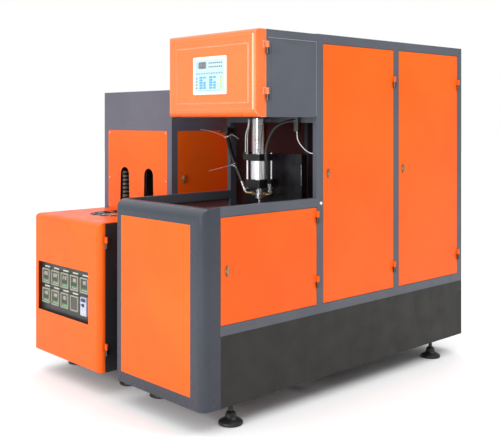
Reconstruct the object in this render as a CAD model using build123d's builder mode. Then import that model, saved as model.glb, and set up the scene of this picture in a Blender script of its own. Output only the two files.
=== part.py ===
"""Semi-automatic stretch blow moulding machine, in millimetres.

A blowing unit stands beside its preform heater. +X is to the right of someone facing the machine, -Y is the
operator side and +Z is up. The origin is on the floor, at the middle of the pair.
"""

import os
from math import cos, degrees, pi, radians, sin, tan

from build123d import *

# Blowing unit
HOST_WIDTH = 725.0
HOST_LENGTH = 2186.0
HOST_HEIGHT = 1850.0
FOOT_HEIGHT = 120.0
PLINTH_HEIGHT = 348.0
TABLE_HEIGHT = 969.0
SURROUND_DEPTH = 108.0
RIM_DEPTH = 50.0
CABINET_START = 793.0
HEAD_START = 416.0
HEAD_HEIGHT = 1404.0
COVER_DEPTH = 77.0
RAIL_FACE = 48.0
RAIL_DEPTH = 30.0
SHEET = 2.5
DOOR_GAP = 2.5
PAN_DEPTH = 20.0
PANEL_GAP = 0.4

# Fits
RUN_FIT = 0.05
FREE_GAP = 0.4

# Front surround and its panel
SURROUND_ROUND = 50.0
SURROUND_LEFT_ROUND = 14.0
RIM_ROUND = 60.0
PANEL_LEFT_STRIP = 46.0
PANEL_RIGHT_STRIP = 98.0
PANEL_BOTTOM_STRIP = 56.0
PANEL_TOP_STRIP = 84.0
PANEL_LIP = 10.0

# Hinges, locks and screws
KNUCKLE_RADIUS = 8.0
KNUCKLE_HEIGHT = 32.0
PIN_RADIUS = 5.0
LEAF_WIDTH = 24.0
LEAF_THICKNESS = 3.0
WING_LENGTH = 52.0
WING_WIDTH = 22.0
WING_HEIGHT = 12.0
SPINDLE_RADIUS = 8.0
CAM_REACH = 30.0
CAM_THICKNESS = 4.0
STRIKE_THICKNESS = 5.0
STRIKE_REACH = 21.0
LOCK_INSET = 42.0
HINGE_RISE = 126.0
LOW_HINGE_DROP = 53.0
TALL_HINGE_DROP = 188.0
COVER_HINGE_RISE = 116.0
COVER_HINGE_DROP = 94.0
CONTROL_HINGE_RISE = 127.0
CONTROL_HINGE_DROP = 109.0
OVEN_LOCK_DROP = 329.0
SCREW_RADIUS = 6.0
SCREW_HEIGHT = 2.0
SCREW_INSET = 14.0

# Levelling feet
PAD_RADIUS = 62.0
STEM_RADIUS = 12.0
STEM_GRIP = 34.0
NUT_ACROSS = 36.0
NUT_HEIGHT = 18.0
FOOT_INSET_X = 75.0
FOOT_INSET_Y = 240.0

# Operator panel
BEZEL_WIDTH = 271.0
BEZEL_HEIGHT = 202.0
BEZEL_DEPTH = 8.0
KEYPAD_BORDER = 16.0
BEZEL_INSET = 212.0
BEZEL_RISE = 119.0
PRESSED_STEP = 3.0
PRESSED_LEFT = 84.0
PRESSED_RIGHT = 54.0
PRESSED_EDGE = 72.0
COVER_LEFT_ROUND = 34.0
COVER_RIGHT_ROUND = 15.0
COVER_LOWER_ROUND = 44.0
COVER_UPPER_ROUND = 24.0

# Blowing ram and stretch unit
RAM_BACK = 80.0
RAM_ROD_RADIUS = 45.0
RAM_BORE_RADIUS = 30.0
RAM_DROP = 205.0
RAM_CYLINDER_RADIUS = 68.0
RAM_PISTON_RADIUS = 56.0
RAM_PISTON_HEIGHT = 30.0
RAM_ROD_LENGTH = 500.0
STRETCH_ROD_RADIUS = 6.0
CHAMBER_SIDE = 115.0
CHAMBER_RADIUS = 50.0
CHAMBER_HEIGHT = 106.0
TOP_CAP_HEIGHT = 37.0
BOTTOM_CAP_HEIGHT = 45.0
TIE_ROD_RADIUS = 5.0
TIE_ROD_INSET = 10.0
NOZZLE_LENGTH = 105.0
PORT_DROP = 36.0
PORT_REACH_LEFT = 112.0
PORT_REACH_RIGHT = 88.0
PIPE_RADIUS = 8.0

# Mould clamp
PLATEN_WIDTH = 450.0
PLATEN_THICKNESS = 45.0
MOVING_PLATEN_BOTTOM = 430.0
MOVING_PLATEN_DROP = 69.0
FIXED_PLATEN_DROP = 205.0
FIXED_PLATEN_START = 818.0
MOVING_PLATEN_START = 355.0
TIE_BAR_RADIUS = 20.0
TIE_BAR_INSET = 40.0
TIE_NUT_RADIUS = 32.0
TIE_NUT_HEIGHT = 28.0
TIE_THREAD_END = 8.0
CLAMP_BARREL_RADIUS = 85.0
CLAMP_BORE_RADIUS = 60.0
CLAMP_ROD_RADIUS = 35.0
CLAMP_PISTON = 40.0
BOLT_RADIUS = 8.0
BOLT_PITCH_X = 300.0
BOLT_PITCH_Z = 240.0

# Air receiver
TANK_RADIUS = 160.0
TANK_HEIGHT = 1000.0
TANK_SKIRT = 90.0

# Heater
UNIT_GAP = 140.0
HEATER_WIDTH = 710.0
HEATER_LENGTH = 1560.0
HEATER_TABLE = 823.0
CONTROL_DOOR_FRONT = 16.0
CONTROL_DOOR_DEPTH = 38.0
CONTROL_DOOR_ROUND = 35.0
OVEN_START = 481.0
OVEN_HEIGHT = 546.0
OVEN_POST = 45.0
HOOD_HEIGHT = 196.0
TRACK_PLATE = 4.0

# Carrier track
TRACK_RADIUS = 126.0
TRACK_TURN_START = 338.0
TRACK_TURN_END = 262.0
SLOT_WIDTH = 66.0
CARRIER_GAP = 18.4
CARRIER_RADIUS = 29.0
CARRIER_HEIGHT = 44.0
CARRIER_SOCKET = 14.2
CARRIER_SOCKET_DEPTH = 6.0
LINK_LENGTH = 12.0
LINK_WIDTH = 50.0
LINK_HEIGHT = 14.0
LINK_DROP = 1.0
BED_WIDTH = 46.0
BED_THICKNESS = 6.0
WHEEL_THICKNESS = 20.0
WHEEL_SHAFT_RADIUS = 15.0
WHEEL_SHAFT_LENGTH = 150.0

# Oven
ARCH_TOP_WIDTH = 92.0
ARCH_FOOT_WIDTH = 104.0
ARCH_HEIGHT = 271.0
LAMP_COUNT = 9
LAMP_PITCH = 25.0
LAMP_FIRST = 34.0
LAMP_RADIUS = 5.5
LAMP_CAP_RADIUS = 9.0
LAMP_CAP_LENGTH = 24.0
LAMP_FRONT_MARGIN = 24.0
LAMP_REAR_MARGIN = 175.0
LAMP_OFFSET = 52.0
CENTRE_BOX_WIDTH = 96.0
REFLECTOR_HEIGHT = 275.0

# Heater controls
WINDOW_WIDTH = 559.0
WINDOW_HEIGHT = 290.0
WINDOW_BOTTOM = 250.0
WINDOW_LEFT = 39.0
CONTROL_PLATE_BACK = 25.0
CONTROL_PLATE_BORDER = 14.0
MODULE_COLUMNS = 5
MODULE_PITCH_X = 106.0
MODULE_PITCH_Z = 117.0
ROW_DROP = 85.0
MODULE_WIDTH = 84.0
MODULE_HEIGHT = 88.0
MODULE_DEPTH = 12.0
BREAKER_WIDTH = 62.0
BREAKER_HEIGHT = 104.0
TOGGLE_RADIUS = 9.0
TOGGLE_WIDTH = 15.0
TOGGLE_REACH = 16.0

# Planes of the two units
SET_WIDTH = HOST_WIDTH + UNIT_GAP + HEATER_WIDTH
HOST_RIGHT = SET_WIDTH / 2
HOST_LEFT = HOST_RIGHT - HOST_WIDTH
HOST_MID = HOST_RIGHT - HOST_WIDTH / 2
HEATER_LEFT = -SET_WIDTH / 2
HEATER_RIGHT = HEATER_LEFT + HEATER_WIDTH
HEATER_MID = HEATER_LEFT + HEATER_WIDTH / 2
FRONT = -HOST_LENGTH / 2
REAR = HOST_LENGTH / 2
BASE = FOOT_HEIGHT
SILL_UNDER = BASE + PLINTH_HEIGHT
SILL_TOP = SILL_UNDER + RAIL_FACE
TABLE_TOP = BASE + TABLE_HEIGHT
TABLE_UNDER = TABLE_TOP - RAIL_FACE
ROOF = BASE + HOST_HEIGHT
ROOF_UNDER = ROOF - RAIL_FACE
HEAD_FLOOR = BASE + HEAD_HEIGHT
LOW_START = FRONT + SURROUND_DEPTH
CABINET_FRONT = FRONT + CABINET_START
HEAD_FRONT = FRONT + HEAD_START
BAY_CLEAR = (REAR - CABINET_FRONT - 3 * RAIL_FACE) / 2
POST_FRONTS = [CABINET_FRONT + i * (RAIL_FACE + BAY_CLEAR) for i in range(3)]
INNER_RIGHT = HOST_RIGHT - RAIL_DEPTH
INNER_LEFT = HOST_LEFT + RAIL_DEPTH

# Openings that the three side doors close, as (start, end) along Y and up Z
LOW_OPENING = ((LOW_START, CABINET_FRONT), (SILL_TOP, TABLE_UNDER))
FRONT_OPENING = ((POST_FRONTS[0] + RAIL_FACE, POST_FRONTS[1]), (SILL_TOP, ROOF_UNDER))
REAR_OPENING = ((POST_FRONTS[1] + RAIL_FACE, POST_FRONTS[2]), (SILL_TOP, ROOF_UNDER))
LOW_LOCK_Z = (SILL_TOP + TABLE_UNDER) / 2
TALL_LOCK_Z = (SILL_TOP + ROOF_UNDER) / 2
LOW_HINGES = (SILL_TOP + HINGE_RISE, TABLE_UNDER - LOW_HINGE_DROP)
TALL_HINGES = (SILL_TOP + HINGE_RISE, ROOF_UNDER - TALL_HINGE_DROP)
COVER_HINGES = (HEAD_FLOOR + COVER_HINGE_RISE, ROOF - COVER_HINGE_DROP)

# Blowing axis and clamp axis
RAM_Y = CABINET_FRONT - RAM_BACK
CHAMBER_TOP = HEAD_FLOOR - RAM_DROP
CAP_TOP_UNDER = CHAMBER_TOP - TOP_CAP_HEIGHT
CHAMBER_BOTTOM = CAP_TOP_UNDER - CHAMBER_HEIGHT
CAP_BOTTOM_UNDER = CHAMBER_BOTTOM - BOTTOM_CAP_HEIGHT
NOZZLE_TIP = CAP_BOTTOM_UNDER - NOZZLE_LENGTH
PORT_Z = CAP_BOTTOM_UNDER - PORT_DROP
MOVING_PLATEN_TOP = TABLE_HEIGHT - MOVING_PLATEN_DROP
CLAMP_Z = BASE + (MOVING_PLATEN_BOTTOM + MOVING_PLATEN_TOP) / 2
PLATEN_X = (HOST_MID - PLATEN_WIDTH / 2, HOST_MID + PLATEN_WIDTH / 2)
FIXED_PLATEN_Y = FRONT + FIXED_PLATEN_START
MOVING_PLATEN_Y = FRONT + MOVING_PLATEN_START
TIE_BARS = [
    (HOST_MID + side * (PLATEN_WIDTH / 2 - TIE_BAR_INSET), BASE + level)
    for side in (-1, 1)
    for level in (MOVING_PLATEN_BOTTOM + TIE_BAR_INSET, MOVING_PLATEN_TOP - TIE_BAR_INSET)
]

# Heater planes
HEATER_FRONT = FRONT - CONTROL_DOOR_FRONT
CABINET_FACE = HEATER_FRONT + CONTROL_DOOR_DEPTH + DOOR_GAP
HEATER_REAR = FRONT + HEATER_LENGTH
TRACK_TOP = BASE + HEATER_TABLE
OVEN_FRONT = FRONT + OVEN_START
OVEN_TOP = TRACK_TOP + OVEN_HEIGHT
HOOD_TOP = OVEN_TOP + HOOD_HEIGHT
OVEN_LOCK_Z = OVEN_TOP - OVEN_LOCK_DROP
CONTROL_HINGES = (BASE + CONTROL_HINGE_RISE, TRACK_TOP - CONTROL_HINGE_DROP)
TURN_FRONT = FRONT + TRACK_TURN_START
TRACK_RUN = HEATER_LENGTH - TRACK_TURN_START - TRACK_TURN_END
TURN_REAR = TURN_FRONT + TRACK_RUN
TRACK_LOOP = 2 * TRACK_RUN + 2 * pi * TRACK_RADIUS
CARRIER_COUNT = int(TRACK_LOOP // (2 * CARRIER_RADIUS + CARRIER_GAP))
CARRIER_PITCH = TRACK_LOOP / CARRIER_COUNT
WHEEL_RADIUS = TRACK_RADIUS - CARRIER_RADIUS - 1.5
CARRIER_BED = TRACK_TOP - CARRIER_HEIGHT
WINDOW_X = (HEATER_LEFT + WINDOW_LEFT, HEATER_LEFT + WINDOW_LEFT + WINDOW_WIDTH)
WINDOW_Z = (BASE + WINDOW_BOTTOM, BASE + WINDOW_BOTTOM + WINDOW_HEIGHT)
CONTROL_PLATE_Y = HEATER_FRONT + CONTROL_PLATE_BACK


def bay(x, y, z):
    """Place in the blowing bay, given from the cabinet's front and the head's floor at mid width."""
    return HOST_MID + x, CABINET_FRONT + y, HEAD_FLOOR + z


def slab(x, y, z, mode=Mode.ADD):
    """Block between two limits along each axis."""
    with Locations(((x[0] + x[1]) / 2, (y[0] + y[1]) / 2, (z[0] + z[1]) / 2)):
        Box(abs(x[1] - x[0]), abs(y[1] - y[0]), abs(z[1] - z[0]), mode=mode)


def bar_z(x, y, radius, z, mode=Mode.ADD):
    """Upright round bar between two heights."""
    with Locations((x, y, (z[0] + z[1]) / 2)):
        Cylinder(radius, z[1] - z[0], mode=mode)


def bar_y(x, z, radius, y, mode=Mode.ADD):
    """Round bar that runs front to back."""
    with Locations((x, (y[0] + y[1]) / 2, z)):
        Cylinder(radius, y[1] - y[0], rotation=(90, 0, 0), mode=mode)


def bar_x(y, z, radius, x, mode=Mode.ADD):
    """Round bar that runs across the machine."""
    with Locations(((x[0] + x[1]) / 2, y, z)):
        Cylinder(radius, x[1] - x[0], rotation=(0, 90, 0), mode=mode)


def formed_block(x, y, z, rounds_x=(0, 0), rounds_z=(0, 0)):
    """Block whose front edges are rounded, with radii for its left and right and its lower and upper edge."""
    middle_y = (y[0] + y[1]) / 2
    depth = y[1] - y[0]
    with BuildPart() as block:
        with BuildSketch(Plane.XY.offset(z[0])) as plan:
            with Locations(((x[0] + x[1]) / 2, middle_y)):
                Rectangle(x[1] - x[0], depth)
            for radius, end in zip(rounds_x, (0, -1)):
                if radius:
                    fillet(plan.vertices().group_by(Axis.Y)[0].sort_by(Axis.X)[end], radius)
        extrude(amount=z[1] - z[0])
        with BuildSketch(Plane.YZ.offset(x[0])) as side:
            with Locations((middle_y, (z[0] + z[1]) / 2)):
                Rectangle(depth, z[1] - z[0])
            for radius, end in zip(rounds_z, (0, -1)):
                if radius:
                    fillet(side.vertices().group_by(Axis.X)[0].sort_by(Axis.Y)[end], radius)
        extrude(amount=x[1] - x[0], mode=Mode.INTERSECT)
    return block.part


def hinge_half(x, y, z, leaf_side, outward=1, pin=False):
    """Half of a lift-off hinge: a knuckle with its leaf, and the pin where it is the lower half.

    x is the skin that the leaf lies on, y is the hinge axis, z is the joint between the halves and leaf_side
    is +1 where the leaf runs back and -1 where it runs forward.
    """
    centre = x + outward * (KNUCKLE_RADIUS + 0.5)
    low = z - KNUCKLE_HEIGHT - FREE_GAP / 2 if pin else z + FREE_GAP / 2
    leaf = (y, y + leaf_side * LEAF_WIDTH)
    slab(sorted((x, x + outward * LEAF_THICKNESS)), sorted(leaf), (low, low + KNUCKLE_HEIGHT))
    bar_z(centre, y, KNUCKLE_RADIUS, (low, low + KNUCKLE_HEIGHT))
    if pin:
        bar_z(centre, y, PIN_RADIUS, (low, z + KNUCKLE_HEIGHT))
    else:
        bar_z(centre, y, PIN_RADIUS + RUN_FIT, (low, low + KNUCKLE_HEIGHT), Mode.SUBTRACT)


def side_door(opening, hinges, lock_z, rib=False):
    """Folded door pan in a side opening, hung at its rear edge, with the hole for its lock."""
    (y0, y1), (z0, z1) = opening
    y = (y0 + DOOR_GAP, y1 - DOOR_GAP)
    z = (z0 + DOOR_GAP, z1 - DOOR_GAP)
    inside = HOST_RIGHT - PAN_DEPTH
    slab((inside, HOST_RIGHT), y, z)
    slab(
        (inside, HOST_RIGHT - SHEET),
        (y[0] + SHEET, y[1] - SHEET),
        (z[0] + SHEET, z[1] - SHEET),
        Mode.SUBTRACT,
    )
    if rib:
        middle = (z[0] + z[1]) / 2
        slab((inside + SHEET, HOST_RIGHT - SHEET), (y[0] + SHEET, y[1] - SHEET), (middle, middle + RAIL_FACE))
    bar_x(y0 + LOCK_INSET, lock_z, SPINDLE_RADIUS + RUN_FIT, (inside, HOST_RIGHT), Mode.SUBTRACT)
    for joint in hinges:
        hinge_half(HOST_RIGHT, y1 - DOOR_GAP / 2, joint, -1)


def turn_lock(skin, y, z):
    """Quarter-turn lock: wing outside, spindle through the door and cam inside, drawn unlocked."""
    wing = skin + FREE_GAP
    cam = skin - RAIL_DEPTH - STRIKE_THICKNESS - 1.0
    with BuildSketch(Plane.YZ.offset(wing)) as outline:
        with Locations((y, z)):
            SlotOverall(WING_LENGTH, WING_WIDTH, rotation=90)
    extrude(outline.sketch, amount=WING_HEIGHT, taper=12)
    bar_x(y, z, SPINDLE_RADIUS, (cam - CAM_THICKNESS, wing))
    slab((cam - CAM_THICKNESS, cam), (y - SPINDLE_RADIUS, y + SPINDLE_RADIUS), (z - CAM_REACH, z))


def strike(skin, post_edge, z):
    """Strike behind a post that a turned cam slides behind."""
    back = skin - RAIL_DEPTH
    slab((back - STRIKE_THICKNESS, back), (post_edge - STRIKE_REACH, post_edge + STRIKE_REACH), (z - 30, z + 30))


def tube_path(points, diameter):
    """Route of a hose: straight runs joined by arcs as large as the two runs allow. Prints the radii."""
    route = [Vector(*p) for p in points]
    radii = []
    for before, here, after in zip(route, route[1:], route[2:]):
        turn = radians((here - before).get_angle(after - here))
        shorter = min((here - before).length, (after - here).length)
        radii.append(0.45 * shorter / tan(turn / 2))
    print("hose", diameter, "radii", [round(r) for r in radii])
    return FilletPolyline(*route, radius=radii)


def round_hose(points, diameter):
    """Solid hose along a route."""
    with BuildPart() as hose:
        with BuildLine() as route:
            tube_path(points, diameter)
        with BuildSketch(Plane(origin=route.line @ 0, z_dir=route.line % 0)):
            Circle(diameter / 2)
        sweep(path=route.line)
    return hose


def save(builder, name):
    """Labels a finished piece and writes it."""
    builder.part.label = name
    export_step(builder.part, f"parts/{name}.step")


os.makedirs("parts", exist_ok=True)
MACHINE_Y = (LOW_START, REAR)
SIDES = ((INNER_RIGHT, HOST_RIGHT), (HOST_LEFT, INNER_LEFT))
HOST_FEET = [
    (x, y)
    for x in (HOST_LEFT + FOOT_INSET_X, HOST_RIGHT - FOOT_INSET_X)
    for y in (FRONT + FOOT_INSET_Y, REAR - FOOT_INSET_Y)
]
HEATER_FEET = [
    (x, y)
    for x in (HEATER_LEFT + FOOT_INSET_X, HEATER_RIGHT - FOOT_INSET_X)
    for y in (FRONT + FOOT_INSET_Y, HEATER_REAR - FOOT_INSET_Y)
]
BEAM_HALF = RAIL_FACE / 2

# Welded frame of the blowing unit
with BuildPart() as host_frame:
    for x in SIDES:
        inner_x = (x[0] - SHEET, x[1] - SHEET) if x[1] == HOST_RIGHT else (x[0] + SHEET, x[1] + SHEET)
        slab(inner_x, (LOW_START, REAR - SHEET), (BASE, BASE + RAIL_FACE))
        slab(x, MACHINE_Y, (SILL_UNDER, SILL_TOP))
        slab(x, (LOW_START, CABINET_FRONT), (TABLE_UNDER, TABLE_TOP))
        slab(x, (CABINET_FRONT, REAR), (ROOF_UNDER, ROOF))
        slab(inner_x, (HEAD_FRONT + 20, CABINET_FRONT), (HEAD_FLOOR + SHEET, HEAD_FLOOR + SHEET + RAIL_FACE))
        for start in POST_FRONTS:
            slab(x, (start, start + RAIL_FACE), (SILL_UNDER, ROOF))
            slab(inner_x, (start, start + RAIL_FACE - SHEET), (BASE, SILL_UNDER))
    for start in POST_FRONTS:
        across = (INNER_LEFT, INNER_RIGHT)
        slab(across, (start, start + RAIL_FACE), (SILL_UNDER, SILL_TOP))
        slab(across, (start, start + RAIL_FACE), (ROOF_UNDER, ROOF))
        slab(across, (start, start + RAIL_FACE - SHEET), (BASE, BASE + RAIL_FACE))
    slab((INNER_LEFT, INNER_RIGHT), (LOW_START, LOW_START + RAIL_FACE), (SILL_UNDER, SILL_TOP))
    for y in (FRONT + FOOT_INSET_Y, REAR - FOOT_INSET_Y):
        slab((INNER_LEFT, INNER_RIGHT), (y - BEAM_HALF, y + BEAM_HALF), (BASE, BASE + RAIL_FACE))
    slab(
        (INNER_LEFT, INNER_RIGHT),
        (CABINET_FRONT, CABINET_FRONT + RAIL_FACE),
        (HEAD_FLOOR - RAIL_DEPTH, HEAD_FLOOR),
    )
    # Bridge that carries the ram cylinder
    slab(
        (INNER_LEFT + SHEET, INNER_RIGHT - SHEET),
        (RAM_Y - 85, CABINET_FRONT),
        (HEAD_FLOOR + SHEET, HEAD_FLOOR + SHEET + 20),
    )
    bar_z(HOST_MID, RAM_Y, RAM_ROD_RADIUS + 2, (HEAD_FLOOR, HEAD_FLOOR + 30), Mode.SUBTRACT)
    for x, y in HOST_FEET:
        bar_z(x, y, STEM_RADIUS + RUN_FIT, (BASE, BASE + STEM_GRIP + 4), Mode.SUBTRACT)
    strike(HOST_RIGHT, POST_FRONTS[0] + RAIL_FACE, TALL_LOCK_Z)
    strike(HOST_RIGHT, POST_FRONTS[1] + RAIL_FACE, TALL_LOCK_Z)
save(host_frame, "host_frame")

# Skirt round the base, one bent sheet
with BuildPart() as plinth_skirt:
    with BuildSketch(Plane.XY.offset(BASE)):
        with BuildLine():
            Polyline(
                (HOST_RIGHT, LOW_START),
                (HOST_RIGHT, REAR),
                (HOST_LEFT, REAR),
                (HOST_LEFT, LOW_START),
                (HOST_LEFT + SHEET, LOW_START),
                (HOST_LEFT + SHEET, REAR - SHEET),
                (HOST_RIGHT - SHEET, REAR - SHEET),
                (HOST_RIGHT - SHEET, LOW_START),
                close=True,
            )
        make_face()
    extrude(amount=PLINTH_HEIGHT)
save(plinth_skirt, "plinth_skirt")

# Formed surround at the front, with its rolled top and right edges
surround_form = formed_block(
    (HOST_LEFT, HOST_RIGHT),
    (FRONT, LOW_START),
    (BASE, TABLE_TOP),
    (SURROUND_LEFT_ROUND, SURROUND_ROUND),
    (0, RIM_ROUND),
)
FRONT_PANEL_X = (HOST_LEFT + PANEL_LEFT_STRIP, HOST_RIGHT - PANEL_RIGHT_STRIP)
FRONT_PANEL_Z = (BASE + PANEL_BOTTOM_STRIP, TABLE_TOP - PANEL_TOP_STRIP)
with BuildPart() as front_surround:
    add(surround_form)
    inner_x = (HOST_LEFT + RAIL_FACE, HOST_RIGHT - RAIL_FACE)
    slab(inner_x, (FRONT + 2 * SHEET, LOW_START), (BASE, TABLE_UNDER - 36), Mode.SUBTRACT)
    slab(inner_x, (FRONT + RIM_DEPTH, LOW_START), (BASE, TABLE_TOP), Mode.SUBTRACT)
    slab(FRONT_PANEL_X, (FRONT, FRONT + SHEET), FRONT_PANEL_Z, Mode.SUBTRACT)
    slab(
        (FRONT_PANEL_X[0] + PANEL_LIP, FRONT_PANEL_X[1] - PANEL_LIP),
        (FRONT, FRONT + 3 * SHEET),
        (FRONT_PANEL_Z[0] + PANEL_LIP, FRONT_PANEL_Z[1] - PANEL_LIP),
        Mode.SUBTRACT,
    )
    # Strike of the low door
    back = HOST_RIGHT - RAIL_DEPTH
    slab(
        (back - STRIKE_THICKNESS, back),
        (LOW_START - 1, LOW_START + STRIKE_REACH),
        (LOW_LOCK_Z - 30, LOW_LOCK_Z + 30),
    )
save(front_surround, "front_surround")

with BuildPart() as front_panel:
    slab(
        (FRONT_PANEL_X[0] + PANEL_GAP, FRONT_PANEL_X[1] - PANEL_GAP),
        (FRONT, FRONT + SHEET),
        (FRONT_PANEL_Z[0] + PANEL_GAP, FRONT_PANEL_Z[1] - PANEL_GAP),
    )
save(front_panel, "front_panel")

with BuildPart() as roof_sheet:
    slab((HOST_LEFT, HOST_RIGHT), (CABINET_FRONT, REAR), (ROOF, ROOF + SHEET))
save(roof_sheet, "roof_sheet")

# Sheet shell of the cantilevered head, open at its front and to the cabinet
with BuildPart() as head_shell:
    slab((HOST_LEFT, HOST_RIGHT), (HEAD_FRONT, CABINET_FRONT), (HEAD_FLOOR, ROOF))
    slab(
        (HOST_LEFT + SHEET, HOST_RIGHT - SHEET),
        (HEAD_FRONT, CABINET_FRONT),
        (HEAD_FLOOR + SHEET, ROOF - SHEET),
        Mode.SUBTRACT,
    )
    bar_z(HOST_MID, RAM_Y, RAM_ROD_RADIUS + 2, (HEAD_FLOOR - 1, HEAD_FLOOR + 10), Mode.SUBTRACT)
    for skin in (HOST_RIGHT, HOST_LEFT - SHEET / 2):
        slab(
            (skin, skin + SHEET / 2),
            (HEAD_FRONT + LEAF_WIDTH + 12, CABINET_FRONT - 14),
            (HEAD_FLOOR + 14, ROOF - 70),
        )
save(head_shell, "head_shell")

# Pillow-shaped cover of the head, hung at its right edge
COVER_FRONT = HEAD_FRONT - COVER_DEPTH
COVER_BACK = HEAD_FRONT - DOOR_GAP / 2
cover_outer = formed_block(
    (HOST_LEFT, HOST_RIGHT),
    (COVER_FRONT + PRESSED_STEP, COVER_BACK),
    (HEAD_FLOOR, ROOF),
    (COVER_LEFT_ROUND, COVER_RIGHT_ROUND),
    (COVER_LOWER_ROUND, COVER_UPPER_ROUND),
)
cover_inner = formed_block(
    (HOST_LEFT + SHEET, HOST_RIGHT - SHEET),
    (COVER_FRONT + PRESSED_STEP + SHEET, COVER_BACK),
    (HEAD_FLOOR + SHEET, ROOF - SHEET),
    (COVER_LEFT_ROUND - SHEET, COVER_RIGHT_ROUND - SHEET),
    (COVER_LOWER_ROUND - SHEET, COVER_UPPER_ROUND - SHEET),
)
PRESSED_X = (HOST_LEFT + PRESSED_LEFT, HOST_RIGHT - PRESSED_RIGHT)
PRESSED_Z = (HEAD_FLOOR + PRESSED_EDGE, ROOF - PRESSED_EDGE)
BEZEL_X = (HOST_RIGHT - BEZEL_INSET - BEZEL_WIDTH, HOST_RIGHT - BEZEL_INSET)
BEZEL_Z = (HEAD_FLOOR + BEZEL_RISE, HEAD_FLOOR + BEZEL_RISE + BEZEL_HEIGHT)
with BuildPart() as head_cover:
    add(cover_outer)
    add(cover_inner, mode=Mode.SUBTRACT)
    with BuildSketch(Plane.XZ.offset(-(COVER_FRONT + PRESSED_STEP))):
        with Locations(((PRESSED_X[0] + PRESSED_X[1]) / 2, (PRESSED_Z[0] + PRESSED_Z[1]) / 2)):
            RectangleRounded(PRESSED_X[1] - PRESSED_X[0], PRESSED_Z[1] - PRESSED_Z[0], 8)
    extrude(amount=PRESSED_STEP, taper=40)
    slab(
        (BEZEL_X[0] + KEYPAD_BORDER, BEZEL_X[1] - KEYPAD_BORDER),
        (COVER_FRONT - 1, COVER_BACK),
        (BEZEL_Z[0] + KEYPAD_BORDER, BEZEL_Z[1] - KEYPAD_BORDER),
        Mode.SUBTRACT,
    )
    for joint in COVER_HINGES:
        hinge_half(HOST_RIGHT, HEAD_FRONT, joint, -1)
save(head_cover, "head_cover")

# Operator panel: a frame with the film keypad set into it
with BuildPart() as operator_bezel:
    with BuildSketch(Plane.XZ.offset(-COVER_FRONT)):
        with Locations(((BEZEL_X[0] + BEZEL_X[1]) / 2, (BEZEL_Z[0] + BEZEL_Z[1]) / 2)):
            RectangleRounded(BEZEL_WIDTH, BEZEL_HEIGHT, 8)
    extrude(amount=BEZEL_DEPTH)
    front_rim = operator_bezel.faces().sort_by(Axis.Y)[0].edges()
    chamfer(front_rim, 2)
    slab(
        (BEZEL_X[0] + KEYPAD_BORDER, BEZEL_X[1] - KEYPAD_BORDER),
        (COVER_FRONT - BEZEL_DEPTH, COVER_FRONT - BEZEL_DEPTH + 3),
        (BEZEL_Z[0] + KEYPAD_BORDER, BEZEL_Z[1] - KEYPAD_BORDER),
        Mode.SUBTRACT,
    )
save(operator_bezel, "operator_bezel")

with BuildPart() as membrane_keypad:
    slab(
        (BEZEL_X[0] + KEYPAD_BORDER + PANEL_GAP, BEZEL_X[1] - KEYPAD_BORDER - PANEL_GAP),
        (COVER_FRONT - BEZEL_DEPTH + 1, COVER_FRONT - BEZEL_DEPTH + 3),
        (BEZEL_Z[0] + KEYPAD_BORDER + PANEL_GAP, BEZEL_Z[1] - KEYPAD_BORDER - PANEL_GAP),
    )
save(membrane_keypad, "membrane_keypad")

# Three doors of the right side
with BuildPart() as low_side_door:
    side_door(LOW_OPENING, LOW_HINGES, LOW_LOCK_Z)
save(low_side_door, "low_side_door")

with BuildPart() as tall_door_front:
    side_door(FRONT_OPENING, TALL_HINGES, TALL_LOCK_Z, rib=True)
save(tall_door_front, "tall_door_front")

with BuildPart() as tall_door_rear:
    side_door(REAR_OPENING, TALL_HINGES, TALL_LOCK_Z, rib=True)
save(tall_door_rear, "tall_door_rear")

# Lower hinge halves with their pins, on the frames
with BuildPart() as frame_hinges:
    for opening, joints in ((LOW_OPENING, LOW_HINGES), (FRONT_OPENING, TALL_HINGES), (REAR_OPENING, TALL_HINGES)):
        for joint in joints:
            hinge_half(HOST_RIGHT, opening[0][1] - DOOR_GAP / 2, joint, 1, pin=True)
    for joint in COVER_HINGES:
        hinge_half(HOST_RIGHT, HEAD_FRONT, joint, 1, pin=True)
    for joint in CONTROL_HINGES:
        hinge_half(HEATER_RIGHT, CABINET_FACE, joint, 1, pin=True)
save(frame_hinges, "frame_hinges")

# Quarter-turn locks
with BuildPart() as low_door_lock:
    turn_lock(HOST_RIGHT, LOW_START + LOCK_INSET, LOW_LOCK_Z)
save(low_door_lock, "low_door_lock")

with BuildPart() as front_door_lock:
    turn_lock(HOST_RIGHT, FRONT_OPENING[0][0] + LOCK_INSET, TALL_LOCK_Z)
save(front_door_lock, "front_door_lock")

with BuildPart() as rear_door_lock:
    turn_lock(HOST_RIGHT, REAR_OPENING[0][0] + LOCK_INSET, TALL_LOCK_Z)
save(rear_door_lock, "rear_door_lock")

# Levelling feet: bell pad and stem, each with its lock nut
with BuildPart() as levelling_feet:
    for x, y in HOST_FEET + HEATER_FEET:
        with BuildSketch(Plane.XZ.offset(-y)) as profile:
            with BuildLine():
                Polyline((x, 0), (x + PAD_RADIUS, 0), (x + PAD_RADIUS, 8))
                Line((x + PAD_RADIUS, 8), (x + 50, 16))
                Line((x + 50, 16), (x + 24, 30))
                Line((x + 24, 30), (x + STEM_RADIUS, 52))
                Polyline((x + STEM_RADIUS, 52), (x + STEM_RADIUS, BASE + STEM_GRIP), (x, BASE + STEM_GRIP), (x, 0))
            make_face()
        revolve(axis=Axis((x, y, 0), (0, 0, 1)))
    for x, y in HOST_FEET + HEATER_FEET:
        with BuildSketch(Plane.XY.offset(BASE - NUT_HEIGHT)):
            with Locations((x, y)):
                RegularPolygon(NUT_ACROSS / 2, 6, major_radius=False)
                Circle(STEM_RADIUS + RUN_FIT, mode=Mode.SUBTRACT)
        extrude(amount=NUT_HEIGHT)
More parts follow.
